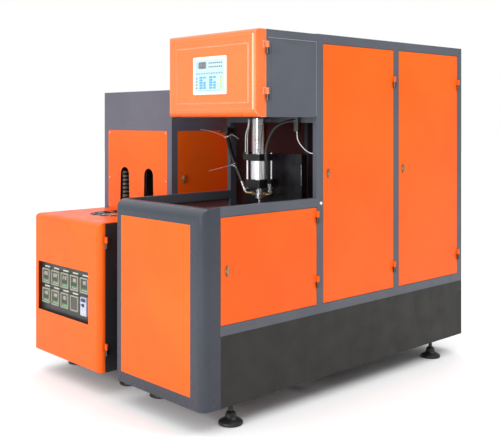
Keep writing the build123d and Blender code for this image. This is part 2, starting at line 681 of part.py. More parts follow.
save(levelling_feet, "levelling_feet")

# Ram cylinder in the head
CYLINDER_FOOT = HEAD_FLOOR + SHEET + 20
CYLINDER_TOP = ROOF - SHEET - 20
with BuildPart() as ram_cylinder:
    slab((HOST_MID - 75, HOST_MID + 75), (RAM_Y - 75, RAM_Y + 75), (CYLINDER_FOOT, CYLINDER_FOOT + 20))
    bar_z(HOST_MID, RAM_Y, RAM_CYLINDER_RADIUS, (CYLINDER_FOOT, CYLINDER_TOP))
    bar_z(HOST_MID, RAM_Y, RAM_PISTON_RADIUS, (CYLINDER_FOOT + 30, CYLINDER_TOP - 15), Mode.SUBTRACT)
    bar_z(HOST_MID, RAM_Y, RAM_ROD_RADIUS + RUN_FIT, (CYLINDER_FOOT, CYLINDER_FOOT + 30), Mode.SUBTRACT)
save(ram_cylinder, "ram_cylinder")

# Hollow chromed ram, which is also the barrel of the stretch cylinder
RAM_TOP = CHAMBER_TOP + RAM_ROD_LENGTH
with BuildPart() as ram_rod:
    bar_z(HOST_MID, RAM_Y, RAM_ROD_RADIUS, (CHAMBER_TOP, RAM_TOP))
    bar_z(HOST_MID, RAM_Y, RAM_PISTON_RADIUS - RUN_FIT, (RAM_TOP - RAM_PISTON_HEIGHT, RAM_TOP))
    bar_z(HOST_MID, RAM_Y, RAM_BORE_RADIUS, (CHAMBER_TOP, RAM_TOP - 10), Mode.SUBTRACT)
save(ram_rod, "ram_rod")

# Black caps of the blow chamber, the upper one with its connector block
CHAMBER_HALF = CHAMBER_SIDE / 2
with BuildPart() as chamber_caps:
    for z in ((CAP_TOP_UNDER, CHAMBER_TOP), (CAP_BOTTOM_UNDER, CHAMBER_BOTTOM)):
        with BuildSketch(Plane.XY.offset(z[0])):
            with Locations((HOST_MID, RAM_Y)):
                RectangleRounded(CHAMBER_SIDE, CHAMBER_SIDE, 8)
                Circle(STRETCH_ROD_RADIUS + RUN_FIT, mode=Mode.SUBTRACT)
        extrude(amount=z[1] - z[0])
    slab(
        (HOST_MID - CHAMBER_HALF - 26, HOST_MID - CHAMBER_HALF),
        (RAM_Y - 48, RAM_Y),
        (CAP_TOP_UNDER + 4, CHAMBER_TOP + 8),
    )
save(chamber_caps, "chamber_caps")

# Aluminium blow chamber with its four tie rods
with BuildPart() as blow_chamber:
    bar_z(HOST_MID, RAM_Y, CHAMBER_RADIUS, (CHAMBER_BOTTOM, CAP_TOP_UNDER))
    bar_z(HOST_MID, RAM_Y, CHAMBER_RADIUS - 6, (CHAMBER_BOTTOM, CAP_TOP_UNDER), Mode.SUBTRACT)
    with Locations((HOST_MID, RAM_Y, (CHAMBER_BOTTOM + CAP_TOP_UNDER) / 2)):
        with GridLocations(CHAMBER_SIDE - 2 * TIE_ROD_INSET, CHAMBER_SIDE - 2 * TIE_ROD_INSET, 2, 2):
            Cylinder(TIE_ROD_RADIUS, CHAMBER_HEIGHT)
save(blow_chamber, "blow_chamber")

# Chromed blow nozzle: neck, hexagon, collar, ported body and tip, turned about the ram axis
NOZZLE_STEPS = (
    (9.0, 0.0, 8.0),
    (22.0, 14.0, 25.0),
    (24.5, 29.0, 60.0),
    (15.0, 25.0, 29.0),
    (13.0, 60.0, 64.0),
    (7.5, 64.0, NOZZLE_LENGTH),
)
with BuildPart() as blow_nozzle:
    for radius, upper, lower in NOZZLE_STEPS:
        bar_z(HOST_MID, RAM_Y, radius, (CAP_BOTTOM_UNDER - lower, CAP_BOTTOM_UNDER - upper))
    with BuildSketch(Plane.XY.offset(CAP_BOTTOM_UNDER - 14)):
        with Locations((HOST_MID, RAM_Y)):
            RegularPolygon(15, 6)
    extrude(amount=6)
    bar_z(
        HOST_MID,
        RAM_Y,
        STRETCH_ROD_RADIUS + RUN_FIT,
        (CAP_BOTTOM_UNDER - NOZZLE_LENGTH, CAP_BOTTOM_UNDER),
        Mode.SUBTRACT,
    )
save(blow_nozzle, "blow_nozzle")

# Stretch rod with its piston inside the ram
STRETCH_TOP = RAM_TOP - 40
with BuildPart() as stretch_rod:
    bar_z(HOST_MID, RAM_Y, STRETCH_ROD_RADIUS, (NOZZLE_TIP - 6, STRETCH_TOP))
    bar_z(HOST_MID, RAM_Y, RAM_BORE_RADIUS - RUN_FIT, (STRETCH_TOP - 25, STRETCH_TOP))
save(stretch_rod, "stretch_rod")

# Brass elbows that carry air to both sides of the nozzle
BODY_RADIUS = NOZZLE_STEPS[2][0]
with BuildPart() as nozzle_elbows:
    for side, reach in ((-1, PORT_REACH_LEFT), (1, PORT_REACH_RIGHT)):
        start = HOST_MID + side * BODY_RADIUS
        turn = HOST_MID + side * reach
        x = sorted((start - side * 1.5, turn))
        bar_x(RAM_Y, PORT_Z, PIPE_RADIUS, x)
        with BuildSketch(Plane.YZ.offset(HOST_MID + side * 41 - 7)):
            with Locations((RAM_Y, PORT_Z)):
                RegularPolygon(12, 6)
        extrude(amount=14)
        bar_z(turn, RAM_Y, PIPE_RADIUS + 3, (PORT_Z - 11, PORT_Z + 9))
    bar_z(HOST_MID, RAM_Y, BODY_RADIUS, (PORT_Z - 20, PORT_Z + 20), Mode.SUBTRACT)
save(nozzle_elbows, "nozzle_elbows")

# Steel hose ends, leaning out from the elbows
LEFT_TURN = Vector(HOST_MID - PORT_REACH_LEFT, RAM_Y, PORT_Z)
RIGHT_TURN = Vector(HOST_MID + PORT_REACH_RIGHT, RAM_Y, PORT_Z)
LEFT_LEAN = Vector(-0.47, 0.0, 0.883)
RIGHT_LEAN = Vector(0.17, -0.30, 0.939)
FERRULE_START = 9.0
FERRULE_LENGTH = 60.0
with BuildPart() as hose_ends:
    for turn, lean in ((LEFT_TURN, LEFT_LEAN), (RIGHT_TURN, RIGHT_LEAN)):
        lean = lean.normalized()
        with BuildSketch(Plane(origin=turn + lean * FERRULE_START, z_dir=lean)):
            RegularPolygon(13, 6)
        extrude(amount=14)
        with BuildSketch(Plane(origin=turn + lean * (FERRULE_START + 14), z_dir=lean)):
            Circle(11)
        extrude(amount=FERRULE_LENGTH - 14)
    add(nozzle_elbows.part, mode=Mode.SUBTRACT)
save(hose_ends, "hose_ends")

# Fittings on the frame and under the head where the hoses and tubes end
NIPPLE_LENGTH = 24.0
LEFT_PORT = Vector(*bay(-302.5, -52, -98))
LEFT_PORT_LEAN = Vector(-0.45, 0.24, 0.86).normalized()
RIGHT_PORT = Vector(*bay(212.5, -30, -19))
RIGHT_PORT_LEAN = Vector(0.72, 0.67, 0.10).normalized()
TUBE_PORTS = [bay(-25, -139, 0), bay(-33, -128, 0)]
DRAIN_PORT = bay(227.5, -13, -78)
DRAIN_END = (HOST_RIGHT - RAIL_DEPTH, CABINET_FRONT + 27, HEAD_FLOOR - 198)
TUBE_RADIUS = 3.0
with BuildPart() as hose_fittings:
    for port, lean, radius in ((LEFT_PORT, LEFT_PORT_LEAN, 11), (RIGHT_PORT, RIGHT_PORT_LEAN, 9)):
        with BuildSketch(Plane(origin=port, z_dir=lean)):
            Circle(radius)
        extrude(amount=NIPPLE_LENGTH)
    block = LEFT_PORT + LEFT_PORT_LEAN * NIPPLE_LENGTH
    slab((HOST_LEFT + 4, block.X + 15), (block.Y - 12, CABINET_FRONT), (block.Z - 14, block.Z + 14))
    slab((HOST_LEFT + 4, block.X + 15), (CABINET_FRONT - 5, CABINET_FRONT), (block.Z - 26, block.Z + 26))
    block = RIGHT_PORT + RIGHT_PORT_LEAN * NIPPLE_LENGTH
    slab((block.X - 15, block.X + 15), (block.Y - 12, CABINET_FRONT), (DRAIN_PORT[2], HEAD_FLOOR))
    for x, y, z in TUBE_PORTS:
        bar_z(x, y, 5, (z - 12, z))
    bar_x(DRAIN_END[1], DRAIN_END[2], 6, (DRAIN_END[0] - 12, DRAIN_END[0]))
save(hose_fittings, "hose_fittings")

# Rear platen, stiffened by two gussets, with the mould bolt holes
FIXED_FACE_Z = (SILL_TOP, HEAD_FLOOR - FIXED_PLATEN_DROP)
GUSSET_LENGTH = 150.0
with BuildPart() as fixed_platen:
    slab(PLATEN_X, (FIXED_PLATEN_Y, FIXED_PLATEN_Y + PLATEN_THICKNESS), FIXED_FACE_Z)
    back = FIXED_PLATEN_Y + PLATEN_THICKNESS
    for side in (-1, 1):
        centre = HOST_MID + side * (PLATEN_WIDTH / 2 - 110)
        with BuildSketch(Plane.YZ.offset(centre - 12)):
            with BuildLine():
                Polyline(
                    (back, FIXED_FACE_Z[0]),
                    (back + GUSSET_LENGTH, FIXED_FACE_Z[0]),
                    (back + GUSSET_LENGTH, FIXED_FACE_Z[0] + 60),
                    (back, FIXED_FACE_Z[1] - 60),
                    close=True,
                )
            make_face()
        extrude(amount=24)
    for x, z in TIE_BARS:
        bar_y(x, z, TIE_BAR_RADIUS, (FIXED_PLATEN_Y, back), Mode.SUBTRACT)
    for x in (HOST_MID - BOLT_PITCH_X / 2, HOST_MID + BOLT_PITCH_X / 2):
        for z in (CLAMP_Z - BOLT_PITCH_Z / 2, CLAMP_Z + BOLT_PITCH_Z / 2):
            bar_y(x, z, BOLT_RADIUS, (FIXED_PLATEN_Y, FIXED_PLATEN_Y + 30), Mode.SUBTRACT)
save(fixed_platen, "fixed_platen")

# Platen that slides on the tie bars
with BuildPart() as moving_platen:
    platen_z = (BASE + MOVING_PLATEN_BOTTOM, BASE + MOVING_PLATEN_TOP)
    platen_y = (MOVING_PLATEN_Y, MOVING_PLATEN_Y + PLATEN_THICKNESS)
    slab(PLATEN_X, platen_y, platen_z)
    chamfer(moving_platen.edges().filter_by(Axis.Y), 12)
    for x, z in TIE_BARS:
        bar_y(x, z, TIE_BAR_RADIUS + 12, (platen_y[0] - 14, platen_y[1]))
        bar_y(x, z, TIE_BAR_RADIUS + RUN_FIT, (platen_y[0] - 14, platen_y[1]), Mode.SUBTRACT)
    for x in (HOST_MID - BOLT_PITCH_X / 2, HOST_MID + BOLT_PITCH_X / 2):
        for z in (CLAMP_Z - BOLT_PITCH_Z / 2, CLAMP_Z + BOLT_PITCH_Z / 2):
            bar_y(x, z, BOLT_RADIUS, (platen_y[1] - 30, platen_y[1]), Mode.SUBTRACT)
save(moving_platen, "moving_platen")

# Tie bars with their end nuts
CLAMP_PLATE_Y = (LOW_START, LOW_START + 40)
with BuildPart() as tie_bars:
    for x, z in TIE_BARS:
        for start in (CLAMP_PLATE_Y[0] - TIE_NUT_HEIGHT, back):
            nut_y = (start, start + TIE_NUT_HEIGHT)
            bar_y(x, z, TIE_NUT_RADIUS, nut_y)
            bar_y(x, z, TIE_BAR_RADIUS + RUN_FIT, nut_y, Mode.SUBTRACT)
        tie_end = TIE_NUT_HEIGHT + TIE_THREAD_END
        bar_y(x, z, TIE_BAR_RADIUS, (CLAMP_PLATE_Y[0] - tie_end, back + tie_end))
save(tie_bars, "tie_bars")

# Front plate that takes the clamping force, standing on the sill beam
with BuildPart() as clamp_plate:
    slab(PLATEN_X, CLAMP_PLATE_Y, (SILL_TOP, BASE + MOVING_PLATEN_TOP))
    for x, z in TIE_BARS:
        bar_y(x, z, TIE_BAR_RADIUS, CLAMP_PLATE_Y, Mode.SUBTRACT)
    bar_y(HOST_MID, CLAMP_Z, CLAMP_BARREL_RADIUS - 10, CLAMP_PLATE_Y, Mode.SUBTRACT)
save(clamp_plate, "clamp_plate")

# Clamp cylinder through that plate
BARREL_Y = (FRONT + 30, FRONT + 318)
with BuildPart() as clamp_cylinder:
    bar_y(HOST_MID, CLAMP_Z, CLAMP_BARREL_RADIUS - 10, (BARREL_Y[0], CLAMP_PLATE_Y[1]))
    bar_y(HOST_MID, CLAMP_Z, CLAMP_BARREL_RADIUS + 20, (CLAMP_PLATE_Y[1], CLAMP_PLATE_Y[1] + 24))
    bar_y(HOST_MID, CLAMP_Z, CLAMP_BARREL_RADIUS, (CLAMP_PLATE_Y[1], BARREL_Y[1]))
    bar_y(HOST_MID, CLAMP_Z, CLAMP_BORE_RADIUS, (BARREL_Y[0] + 20, BARREL_Y[1] - 20), Mode.SUBTRACT)
    bar_y(HOST_MID, CLAMP_Z, CLAMP_ROD_RADIUS + RUN_FIT, (BARREL_Y[1] - 20, BARREL_Y[1]), Mode.SUBTRACT)
save(clamp_cylinder, "clamp_cylinder")

with BuildPart() as clamp_rod:
    piston_y = (BARREL_Y[0] + 22, BARREL_Y[0] + 22 + CLAMP_PISTON)
    bar_y(HOST_MID, CLAMP_Z, CLAMP_BORE_RADIUS - RUN_FIT, piston_y)
    bar_y(HOST_MID, CLAMP_Z, CLAMP_ROD_RADIUS, (piston_y[1], MOVING_PLATEN_Y))
save(clamp_rod, "clamp_rod")

# Air receiver: a dished tank on a ring skirt, turned as one profile
TANK_Y = REAR - FOOT_INSET_Y - 20
TANK_BOTTOM = BASE + RAIL_FACE
with BuildPart() as air_receiver:
    with BuildSketch(Plane.XZ.offset(-TANK_Y)):
        with BuildLine():
            x0 = HOST_MID
            low = TANK_BOTTOM + TANK_SKIRT
            top = TANK_BOTTOM + TANK_HEIGHT
            Polyline(
                (x0 + TANK_RADIUS - 10, low - 10),
                (x0 + TANK_RADIUS - 10, TANK_BOTTOM),
                (x0 + TANK_RADIUS, TANK_BOTTOM),
                (x0 + TANK_RADIUS, top - 60),
            )
            RadiusArc((x0 + TANK_RADIUS, top - 60), (x0 + 22, top), -260)
            Polyline((x0 + 22, top), (x0 + 22, top + 26), (x0, top + 26), (x0, low - 40))
            RadiusArc((x0, low - 40), (x0 + TANK_RADIUS - 10, low - 10), -420)
        make_face()
    revolve(axis=Axis((HOST_MID, TANK_Y, 0), (0, 0, 1)))
save(air_receiver, "air_receiver")

# Heater: welded frame of the low cabinet and the oven
HEATER_INNER = (HEATER_LEFT + SHEET, HEATER_RIGHT - SHEET)
CABINET_Y = (CABINET_FACE, HEATER_REAR)
SHAFT_BEARING_Z = TRACK_TOP - TRACK_PLATE - WHEEL_SHAFT_LENGTH
with BuildPart() as heater_frame:
    for x0 in (HEATER_INNER[0], HEATER_INNER[1] - RAIL_DEPTH):
        x = (x0, x0 + RAIL_DEPTH)
        for z in (BASE, TRACK_TOP - TRACK_PLATE - RAIL_FACE):
            slab(x, (CABINET_FACE, HEATER_REAR - SHEET), (z, z + RAIL_FACE))
        for y in (CABINET_FACE, HEATER_REAR - SHEET - RAIL_FACE):
            slab(x, (y, y + RAIL_FACE), (BASE, TRACK_TOP - TRACK_PLATE))
    across = (HEATER_INNER[0], HEATER_INNER[1])
    for y in (CABINET_FACE, HEATER_REAR - SHEET - RAIL_FACE):
        for z in (BASE, TRACK_TOP - TRACK_PLATE - RAIL_FACE):
            slab(across, (y, y + RAIL_FACE), (z, z + RAIL_FACE))
    for y in (FRONT + FOOT_INSET_Y, HEATER_REAR - FOOT_INSET_Y):
        slab(across, (y - BEAM_HALF, y + BEAM_HALF), (BASE, BASE + RAIL_FACE))
    # Spine between the two runs, which carries the island of the table and the wheel bearings
    spine = (HEATER_MID - RAIL_DEPTH, HEATER_MID + RAIL_DEPTH)
    slab(spine, (CABINET_FACE, HEATER_REAR - SHEET), (SHAFT_BEARING_Z, SHAFT_BEARING_Z + 40))
    slab(
        (HEATER_MID - RAIL_DEPTH, HEATER_MID + RAIL_DEPTH),
        (TURN_FRONT + WHEEL_RADIUS + 12, TURN_REAR - WHEEL_RADIUS - 12),
        (SHAFT_BEARING_Z + 40, TRACK_TOP - TRACK_PLATE),
    )
    for y in (CABINET_FACE, HEATER_REAR - SHEET - RAIL_FACE):
        slab(spine, (y, y + RAIL_FACE), (BASE, SHAFT_BEARING_Z + 40))
    # Bed that the carriers slide on, on its cross bars
    for y in (TURN_FRONT + 170, (TURN_FRONT + TURN_REAR) / 2, TURN_REAR - 170):
        slab(across, (y, y + RAIL_DEPTH), (CARRIER_BED - BED_THICKNESS - 24, CARRIER_BED - BED_THICKNESS))
    with BuildSketch(Plane.XY.offset(CARRIER_BED - BED_THICKNESS)):
        with Locations((HEATER_MID, (TURN_FRONT + TURN_REAR) / 2)):
            SlotCenterToCenter(TRACK_RUN, 2 * TRACK_RADIUS + BED_WIDTH, rotation=90)
            SlotCenterToCenter(TRACK_RUN, 2 * TRACK_RADIUS - BED_WIDTH, rotation=90, mode=Mode.SUBTRACT)
    extrude(amount=BED_THICKNESS)
    for y in (TURN_FRONT, TURN_REAR):
        bar_z(
            HEATER_MID,
            y,
            WHEEL_SHAFT_RADIUS + RUN_FIT,
            (SHAFT_BEARING_Z - 1, SHAFT_BEARING_Z + 41),
            Mode.SUBTRACT,
        )
    for x, y in HEATER_FEET:
        bar_z(x, y, STEM_RADIUS + RUN_FIT, (BASE, BASE + STEM_GRIP + 4), Mode.SUBTRACT)
save(heater_frame, "heater_frame")

with BuildPart() as oven_frame:
    for x0 in (HEATER_LEFT, HEATER_RIGHT - OVEN_POST):
        for y0 in (OVEN_FRONT, HEATER_REAR - OVEN_POST):
            slab((x0, x0 + OVEN_POST), (y0, y0 + OVEN_POST), (TRACK_TOP, OVEN_TOP))
        slab((x0, x0 + OVEN_POST), (OVEN_FRONT, HEATER_REAR), (OVEN_TOP - OVEN_POST, OVEN_TOP))
    for y0 in (OVEN_FRONT, HEATER_REAR - OVEN_POST):
        slab((HEATER_LEFT, HEATER_RIGHT), (y0, y0 + OVEN_POST), (OVEN_TOP - OVEN_POST, OVEN_TOP))
    strike(HEATER_RIGHT, OVEN_FRONT + OVEN_POST, OVEN_LOCK_Z)
save(oven_frame, "oven_frame")

# Sides and rear of the low cabinet, one bent sheet
with BuildPart() as heater_cabinet:
    with BuildSketch(Plane.XY.offset(BASE)):
        with BuildLine():
            Polyline(
                (HEATER_RIGHT, CABINET_FACE),
                (HEATER_RIGHT, HEATER_REAR),
                (HEATER_LEFT, HEATER_REAR),
                (HEATER_LEFT, CABINET_FACE),
                (HEATER_LEFT + SHEET, CABINET_FACE),
                (HEATER_LEFT + SHEET, HEATER_REAR - SHEET),
                (HEATER_RIGHT - SHEET, HEATER_REAR - SHEET),
                (HEATER_RIGHT - SHEET, CABINET_FACE),
                close=True,
            )
        make_face()
    extrude(amount=HEATER_TABLE - TRACK_PLATE)
save(heater_cabinet, "heater_cabinet")


def track_slot(width):
    """Closed loop of the carrier slot, as the band between two stadiums."""
    middle = (TURN_FRONT + TURN_REAR) / 2
    with Locations((HEATER_MID, middle)):
        SlotCenterToCenter(TRACK_RUN, 2 * TRACK_RADIUS + width, rotation=90)
        SlotCenterToCenter(TRACK_RUN, 2 * TRACK_RADIUS - width, rotation=90, mode=Mode.SUBTRACT)


# Table with the U-turn slot: the outer plate and the island inside the loop
with BuildPart() as track_loop:
    with BuildSketch(Plane.XY.offset(TRACK_TOP - 2 * TRACK_PLATE)):
        track_slot(SLOT_WIDTH)
    extrude(amount=3 * TRACK_PLATE)
with BuildPart() as track_table:
    slab((HEATER_LEFT, HEATER_RIGHT), CABINET_Y, (TRACK_TOP - TRACK_PLATE, TRACK_TOP))
    add(track_loop.part, mode=Mode.SUBTRACT)
    bar_z(HEATER_MID, TURN_FRONT, TRACK_RADIUS, (TRACK_TOP - TRACK_PLATE, TRACK_TOP), Mode.SUBTRACT)
save(track_table, "track_table")


def along_track(distance):
    """Place on the centre line of the loop, as x, y and heading in degrees, from the left run's front end."""
    distance %= TRACK_LOOP
    turn = pi * TRACK_RADIUS
    if distance < TRACK_RUN:
        return HEATER_MID - TRACK_RADIUS, TURN_FRONT + distance, 90.0
    distance -= TRACK_RUN
    if distance < turn:
        angle = pi - distance / TRACK_RADIUS
        x = HEATER_MID + TRACK_RADIUS * cos(angle)
        y = TURN_REAR + TRACK_RADIUS * sin(angle)
        return x, y, degrees(angle) - 90.0
    distance -= turn
    if distance < TRACK_RUN:
        return HEATER_MID + TRACK_RADIUS, TURN_REAR - distance, -90.0
    distance -= TRACK_RUN
    angle = -distance / TRACK_RADIUS
    x = HEATER_MID + TRACK_RADIUS * cos(angle)
    y = TURN_FRONT + TRACK_RADIUS * sin(angle)
    return x, y, degrees(angle) - 90.0


CARRIER_Z = (CARRIER_BED, TRACK_TOP)

# Preform carriers, each a black cup with the socket that the preform's neck sits in
with BuildPart() as carriers:
    for i in range(CARRIER_COUNT):
        x, y, heading = along_track(i * CARRIER_PITCH)
        bar_z(x, y, CARRIER_RADIUS, CARRIER_Z)
        bar_z(x, y, CARRIER_SOCKET, (CARRIER_Z[1] - CARRIER_SOCKET_DEPTH, CARRIER_Z[1]), Mode.SUBTRACT)
save(carriers, "carriers")

# Bright links that join each carrier to the next
with BuildPart() as carrier_discs:
    for i in range(CARRIER_COUNT):
        x, y, heading = along_track(i * CARRIER_PITCH)
        bar_z(x, y, CARRIER_RADIUS, CARRIER_Z)
with BuildPart() as chain_links:
    for i in range(CARRIER_COUNT):
        x, y, heading = along_track((i + 0.5) * CARRIER_PITCH)
        with Locations(Location((x, y, TRACK_TOP - LINK_DROP - LINK_HEIGHT / 2), (0, 0, heading))):
            Box(LINK_LENGTH, LINK_WIDTH, LINK_HEIGHT)
            Box(CARRIER_PITCH - 2 * CARRIER_RADIUS + 8, LINK_LENGTH, LINK_HEIGHT)
    add(carrier_discs.part, mode=Mode.SUBTRACT)
save(chain_links, "chain_links")


def chain_wheel(y):
    """Wheel that guides the loop round a turn, on its shaft in the spine."""
    wheel_top = TRACK_TOP - TRACK_PLATE - 2
    bar_z(HEATER_MID, y, WHEEL_RADIUS, (wheel_top - WHEEL_THICKNESS, wheel_top))
    with Locations((HEATER_MID, y, wheel_top - WHEEL_THICKNESS / 2)):
        with PolarLocations(WHEEL_RADIUS * 0.62, 5):
            Cylinder(18, WHEEL_THICKNESS, mode=Mode.SUBTRACT)
    bar_z(HEATER_MID, y, WHEEL_SHAFT_RADIUS + 12, (SHAFT_BEARING_Z + 40 + FREE_GAP, wheel_top - WHEEL_THICKNESS))
    bar_z(HEATER_MID, y, WHEEL_SHAFT_RADIUS, (SHAFT_BEARING_Z - 20, wheel_top))


with BuildPart() as front_wheel:
    chain_wheel(TURN_FRONT)
save(front_wheel, "front_wheel")

with BuildPart() as rear_wheel:
    chain_wheel(TURN_REAR)
save(rear_wheel, "rear_wheel")

# Front panel of the oven with its two tapered arches
OVEN_PANEL_X = (HEATER_LEFT + OVEN_POST + PANEL_GAP, HEATER_RIGHT - OVEN_POST - PANEL_GAP)
OVEN_PANEL_Z = (TRACK_TOP + PANEL_GAP, OVEN_TOP - OVEN_POST - PANEL_GAP)


def arch(centre):
    """Tapered arch that stands on the table, closed by a half round."""
    top, foot = ARCH_TOP_WIDTH / 2, ARCH_FOOT_WIDTH / 2
    spring = TRACK_TOP + ARCH_HEIGHT - top
    with BuildLine() as outline:
        Polyline(
            (centre - top, spring),
            (centre - foot, TRACK_TOP - 1),
            (centre + foot, TRACK_TOP - 1),
            (centre + top, spring),
        )
        ThreePointArc((centre + top, spring), (centre, spring + top), (centre - top, spring))
    make_face(outline.edges())


with BuildPart() as arch_cutters:
    with BuildSketch(Plane.XZ.offset(-OVEN_FRONT - 2 * SHEET)):
        arch(HEATER_MID - TRACK_RADIUS)
    extrude(amount=4 * SHEET)
    with BuildSketch(Plane.XZ.offset(-OVEN_FRONT - 2 * SHEET)):
        arch(HEATER_MID + TRACK_RADIUS)
    extrude(amount=4 * SHEET)
with BuildPart() as oven_front_panel:
    slab(OVEN_PANEL_X, (OVEN_FRONT, OVEN_FRONT + SHEET), OVEN_PANEL_Z)
    add(arch_cutters.part, mode=Mode.SUBTRACT)
save(oven_front_panel, "oven_front_panel")

# Lift-off panel on the side that faces the blowing unit, and the fixed left and rear panels
OVEN_SIDE_Y = (OVEN_FRONT + OVEN_POST + PANEL_GAP, HEATER_REAR - OVEN_POST - PANEL_GAP)
OVEN_LOCK_Y = OVEN_FRONT + OVEN_POST + LOCK_INSET
with BuildPart() as oven_side_panel:
    slab((HEATER_RIGHT - PAN_DEPTH, HEATER_RIGHT), OVEN_SIDE_Y, OVEN_PANEL_Z)
    slab(
        (HEATER_RIGHT - PAN_DEPTH, HEATER_RIGHT - SHEET),
        (OVEN_SIDE_Y[0] + SHEET, OVEN_SIDE_Y[1] - SHEET),
        (OVEN_PANEL_Z[0] + SHEET, OVEN_PANEL_Z[1] - SHEET),
        Mode.SUBTRACT,
    )
    bar_x(
        OVEN_LOCK_Y,
        OVEN_LOCK_Z,
        SPINDLE_RADIUS + RUN_FIT,
        (HEATER_RIGHT - PAN_DEPTH, HEATER_RIGHT),
        Mode.SUBTRACT,
    )
save(oven_side_panel, "oven_side_panel")

with BuildPart() as oven_lock:
    turn_lock(HEATER_RIGHT, OVEN_LOCK_Y, OVEN_LOCK_Z)
save(oven_lock, "oven_lock")

# Fixed sheet panels, flush with their frames: left side and rear of the blowing unit and of the oven
LEFT_OPENINGS = (LOW_OPENING, FRONT_OPENING, REAR_OPENING)
with BuildPart() as fixed_panels:
    for (y0, y1), (z0, z1) in LEFT_OPENINGS:
        slab(
            (HOST_LEFT, HOST_LEFT + SHEET),
            (y0 + PANEL_GAP, y1 - PANEL_GAP),
            (z0 + PANEL_GAP, z1 - PANEL_GAP),
        )
    slab(
        (INNER_LEFT + PANEL_GAP, INNER_RIGHT - PANEL_GAP),
        (REAR - SHEET, REAR),
        (SILL_TOP + PANEL_GAP, ROOF_UNDER - PANEL_GAP),
    )
    slab((HEATER_LEFT, HEATER_LEFT + SHEET), OVEN_SIDE_Y, OVEN_PANEL_Z)
    slab(OVEN_PANEL_X, (HEATER_REAR - SHEET, HEATER_REAR), OVEN_PANEL_Z)
save(fixed_panels, "fixed_panels")

# Hood over the oven, open below
with BuildPart() as hood:
    slab((HEATER_LEFT, HEATER_RIGHT), (OVEN_FRONT, HEATER_REAR), (OVEN_TOP, HOOD_TOP))
    slab(
        (HEATER_LEFT + SHEET, HEATER_RIGHT - SHEET),
        (OVEN_FRONT + SHEET, HEATER_REAR - SHEET),
        (OVEN_TOP, HOOD_TOP - SHEET),
        Mode.SUBTRACT,
    )
    for y in ((OVEN_FRONT, OVEN_FRONT + OVEN_POST), (HEATER_REAR - OVEN_POST, HEATER_REAR)):
        slab((HEATER_LEFT, HEATER_RIGHT), y, (OVEN_TOP, OVEN_TOP + SHEET))
save(hood, "hood")

# Infrared lamps along both outer walls of the tunnels
LAMP_Y = (OVEN_FRONT + LAMP_FRONT_MARGIN, HEATER_REAR - LAMP_REAR_MARGIN)
LAMP_X = [HEATER_MID + side * (TRACK_RADIUS + LAMP_OFFSET) for side in (-1, 1)]
with BuildPart() as lamps:
    for x in LAMP_X:
        for i in range(LAMP_COUNT):
            z = TRACK_TOP + LAMP_FIRST + i * LAMP_PITCH
            bar_y(x, z, LAMP_RADIUS, LAMP_Y)
            bar_y(x, z, LAMP_CAP_RADIUS, (LAMP_Y[0], LAMP_Y[0] + LAMP_CAP_LENGTH))
            bar_y(x, z, LAMP_CAP_RADIUS, (LAMP_Y[1] - LAMP_CAP_LENGTH, LAMP_Y[1]))
save(lamps, "lamps")

# Reflectors behind the lamps and the box between the tunnels, all standing on the table
with BuildPart() as reflectors:
    for side in (-1, 1):
        face = HEATER_MID + side * (TRACK_RADIUS + LAMP_OFFSET + LAMP_CAP_RADIUS + 0.3)
        slab(sorted((face, face + side * SHEET)), (LAMP_Y[0], LAMP_Y[1]), (TRACK_TOP, TRACK_TOP + REFLECTOR_HEIGHT))
        foot = sorted((face, face + side * 22))
        slab(foot, (LAMP_Y[0], LAMP_Y[1]), (TRACK_TOP, TRACK_TOP + SHEET))
    slab(
        (HEATER_MID - CENTRE_BOX_WIDTH / 2, HEATER_MID + CENTRE_BOX_WIDTH / 2),
        (OVEN_FRONT + 40, TURN_REAR - 20),
        (TRACK_TOP, TRACK_TOP + REFLECTOR_HEIGHT),
    )
save(reflectors, "reflectors")

# Control door of the heater: deep sheet cover, rolled at its top and right
DOOR_Y = (HEATER_FRONT, HEATER_FRONT + CONTROL_DOOR_DEPTH)
control_outer = formed_block(
    (HEATER_LEFT, HEATER_RIGHT),
    DOOR_Y,
    (BASE, TRACK_TOP),
    (12, CONTROL_DOOR_ROUND),
    (12, CONTROL_DOOR_ROUND),
)
control_inner = formed_block(
    (HEATER_LEFT + SHEET, HEATER_RIGHT - SHEET),
    (DOOR_Y[0] + SHEET, DOOR_Y[1]),
    (BASE + SHEET, TRACK_TOP - SHEET),
    (12 - SHEET, CONTROL_DOOR_ROUND - SHEET),
    (12 - SHEET, CONTROL_DOOR_ROUND - SHEET),
)
with BuildPart() as control_door:
    add(control_outer)
    add(control_inner, mode=Mode.SUBTRACT)
    slab(WINDOW_X, (DOOR_Y[0], DOOR_Y[0] + SHEET), WINDOW_Z, Mode.SUBTRACT)
    for joint in CONTROL_HINGES:
        hinge_half(HEATER_RIGHT, CABINET_FACE, joint, -1)
save(control_door, "control_door")

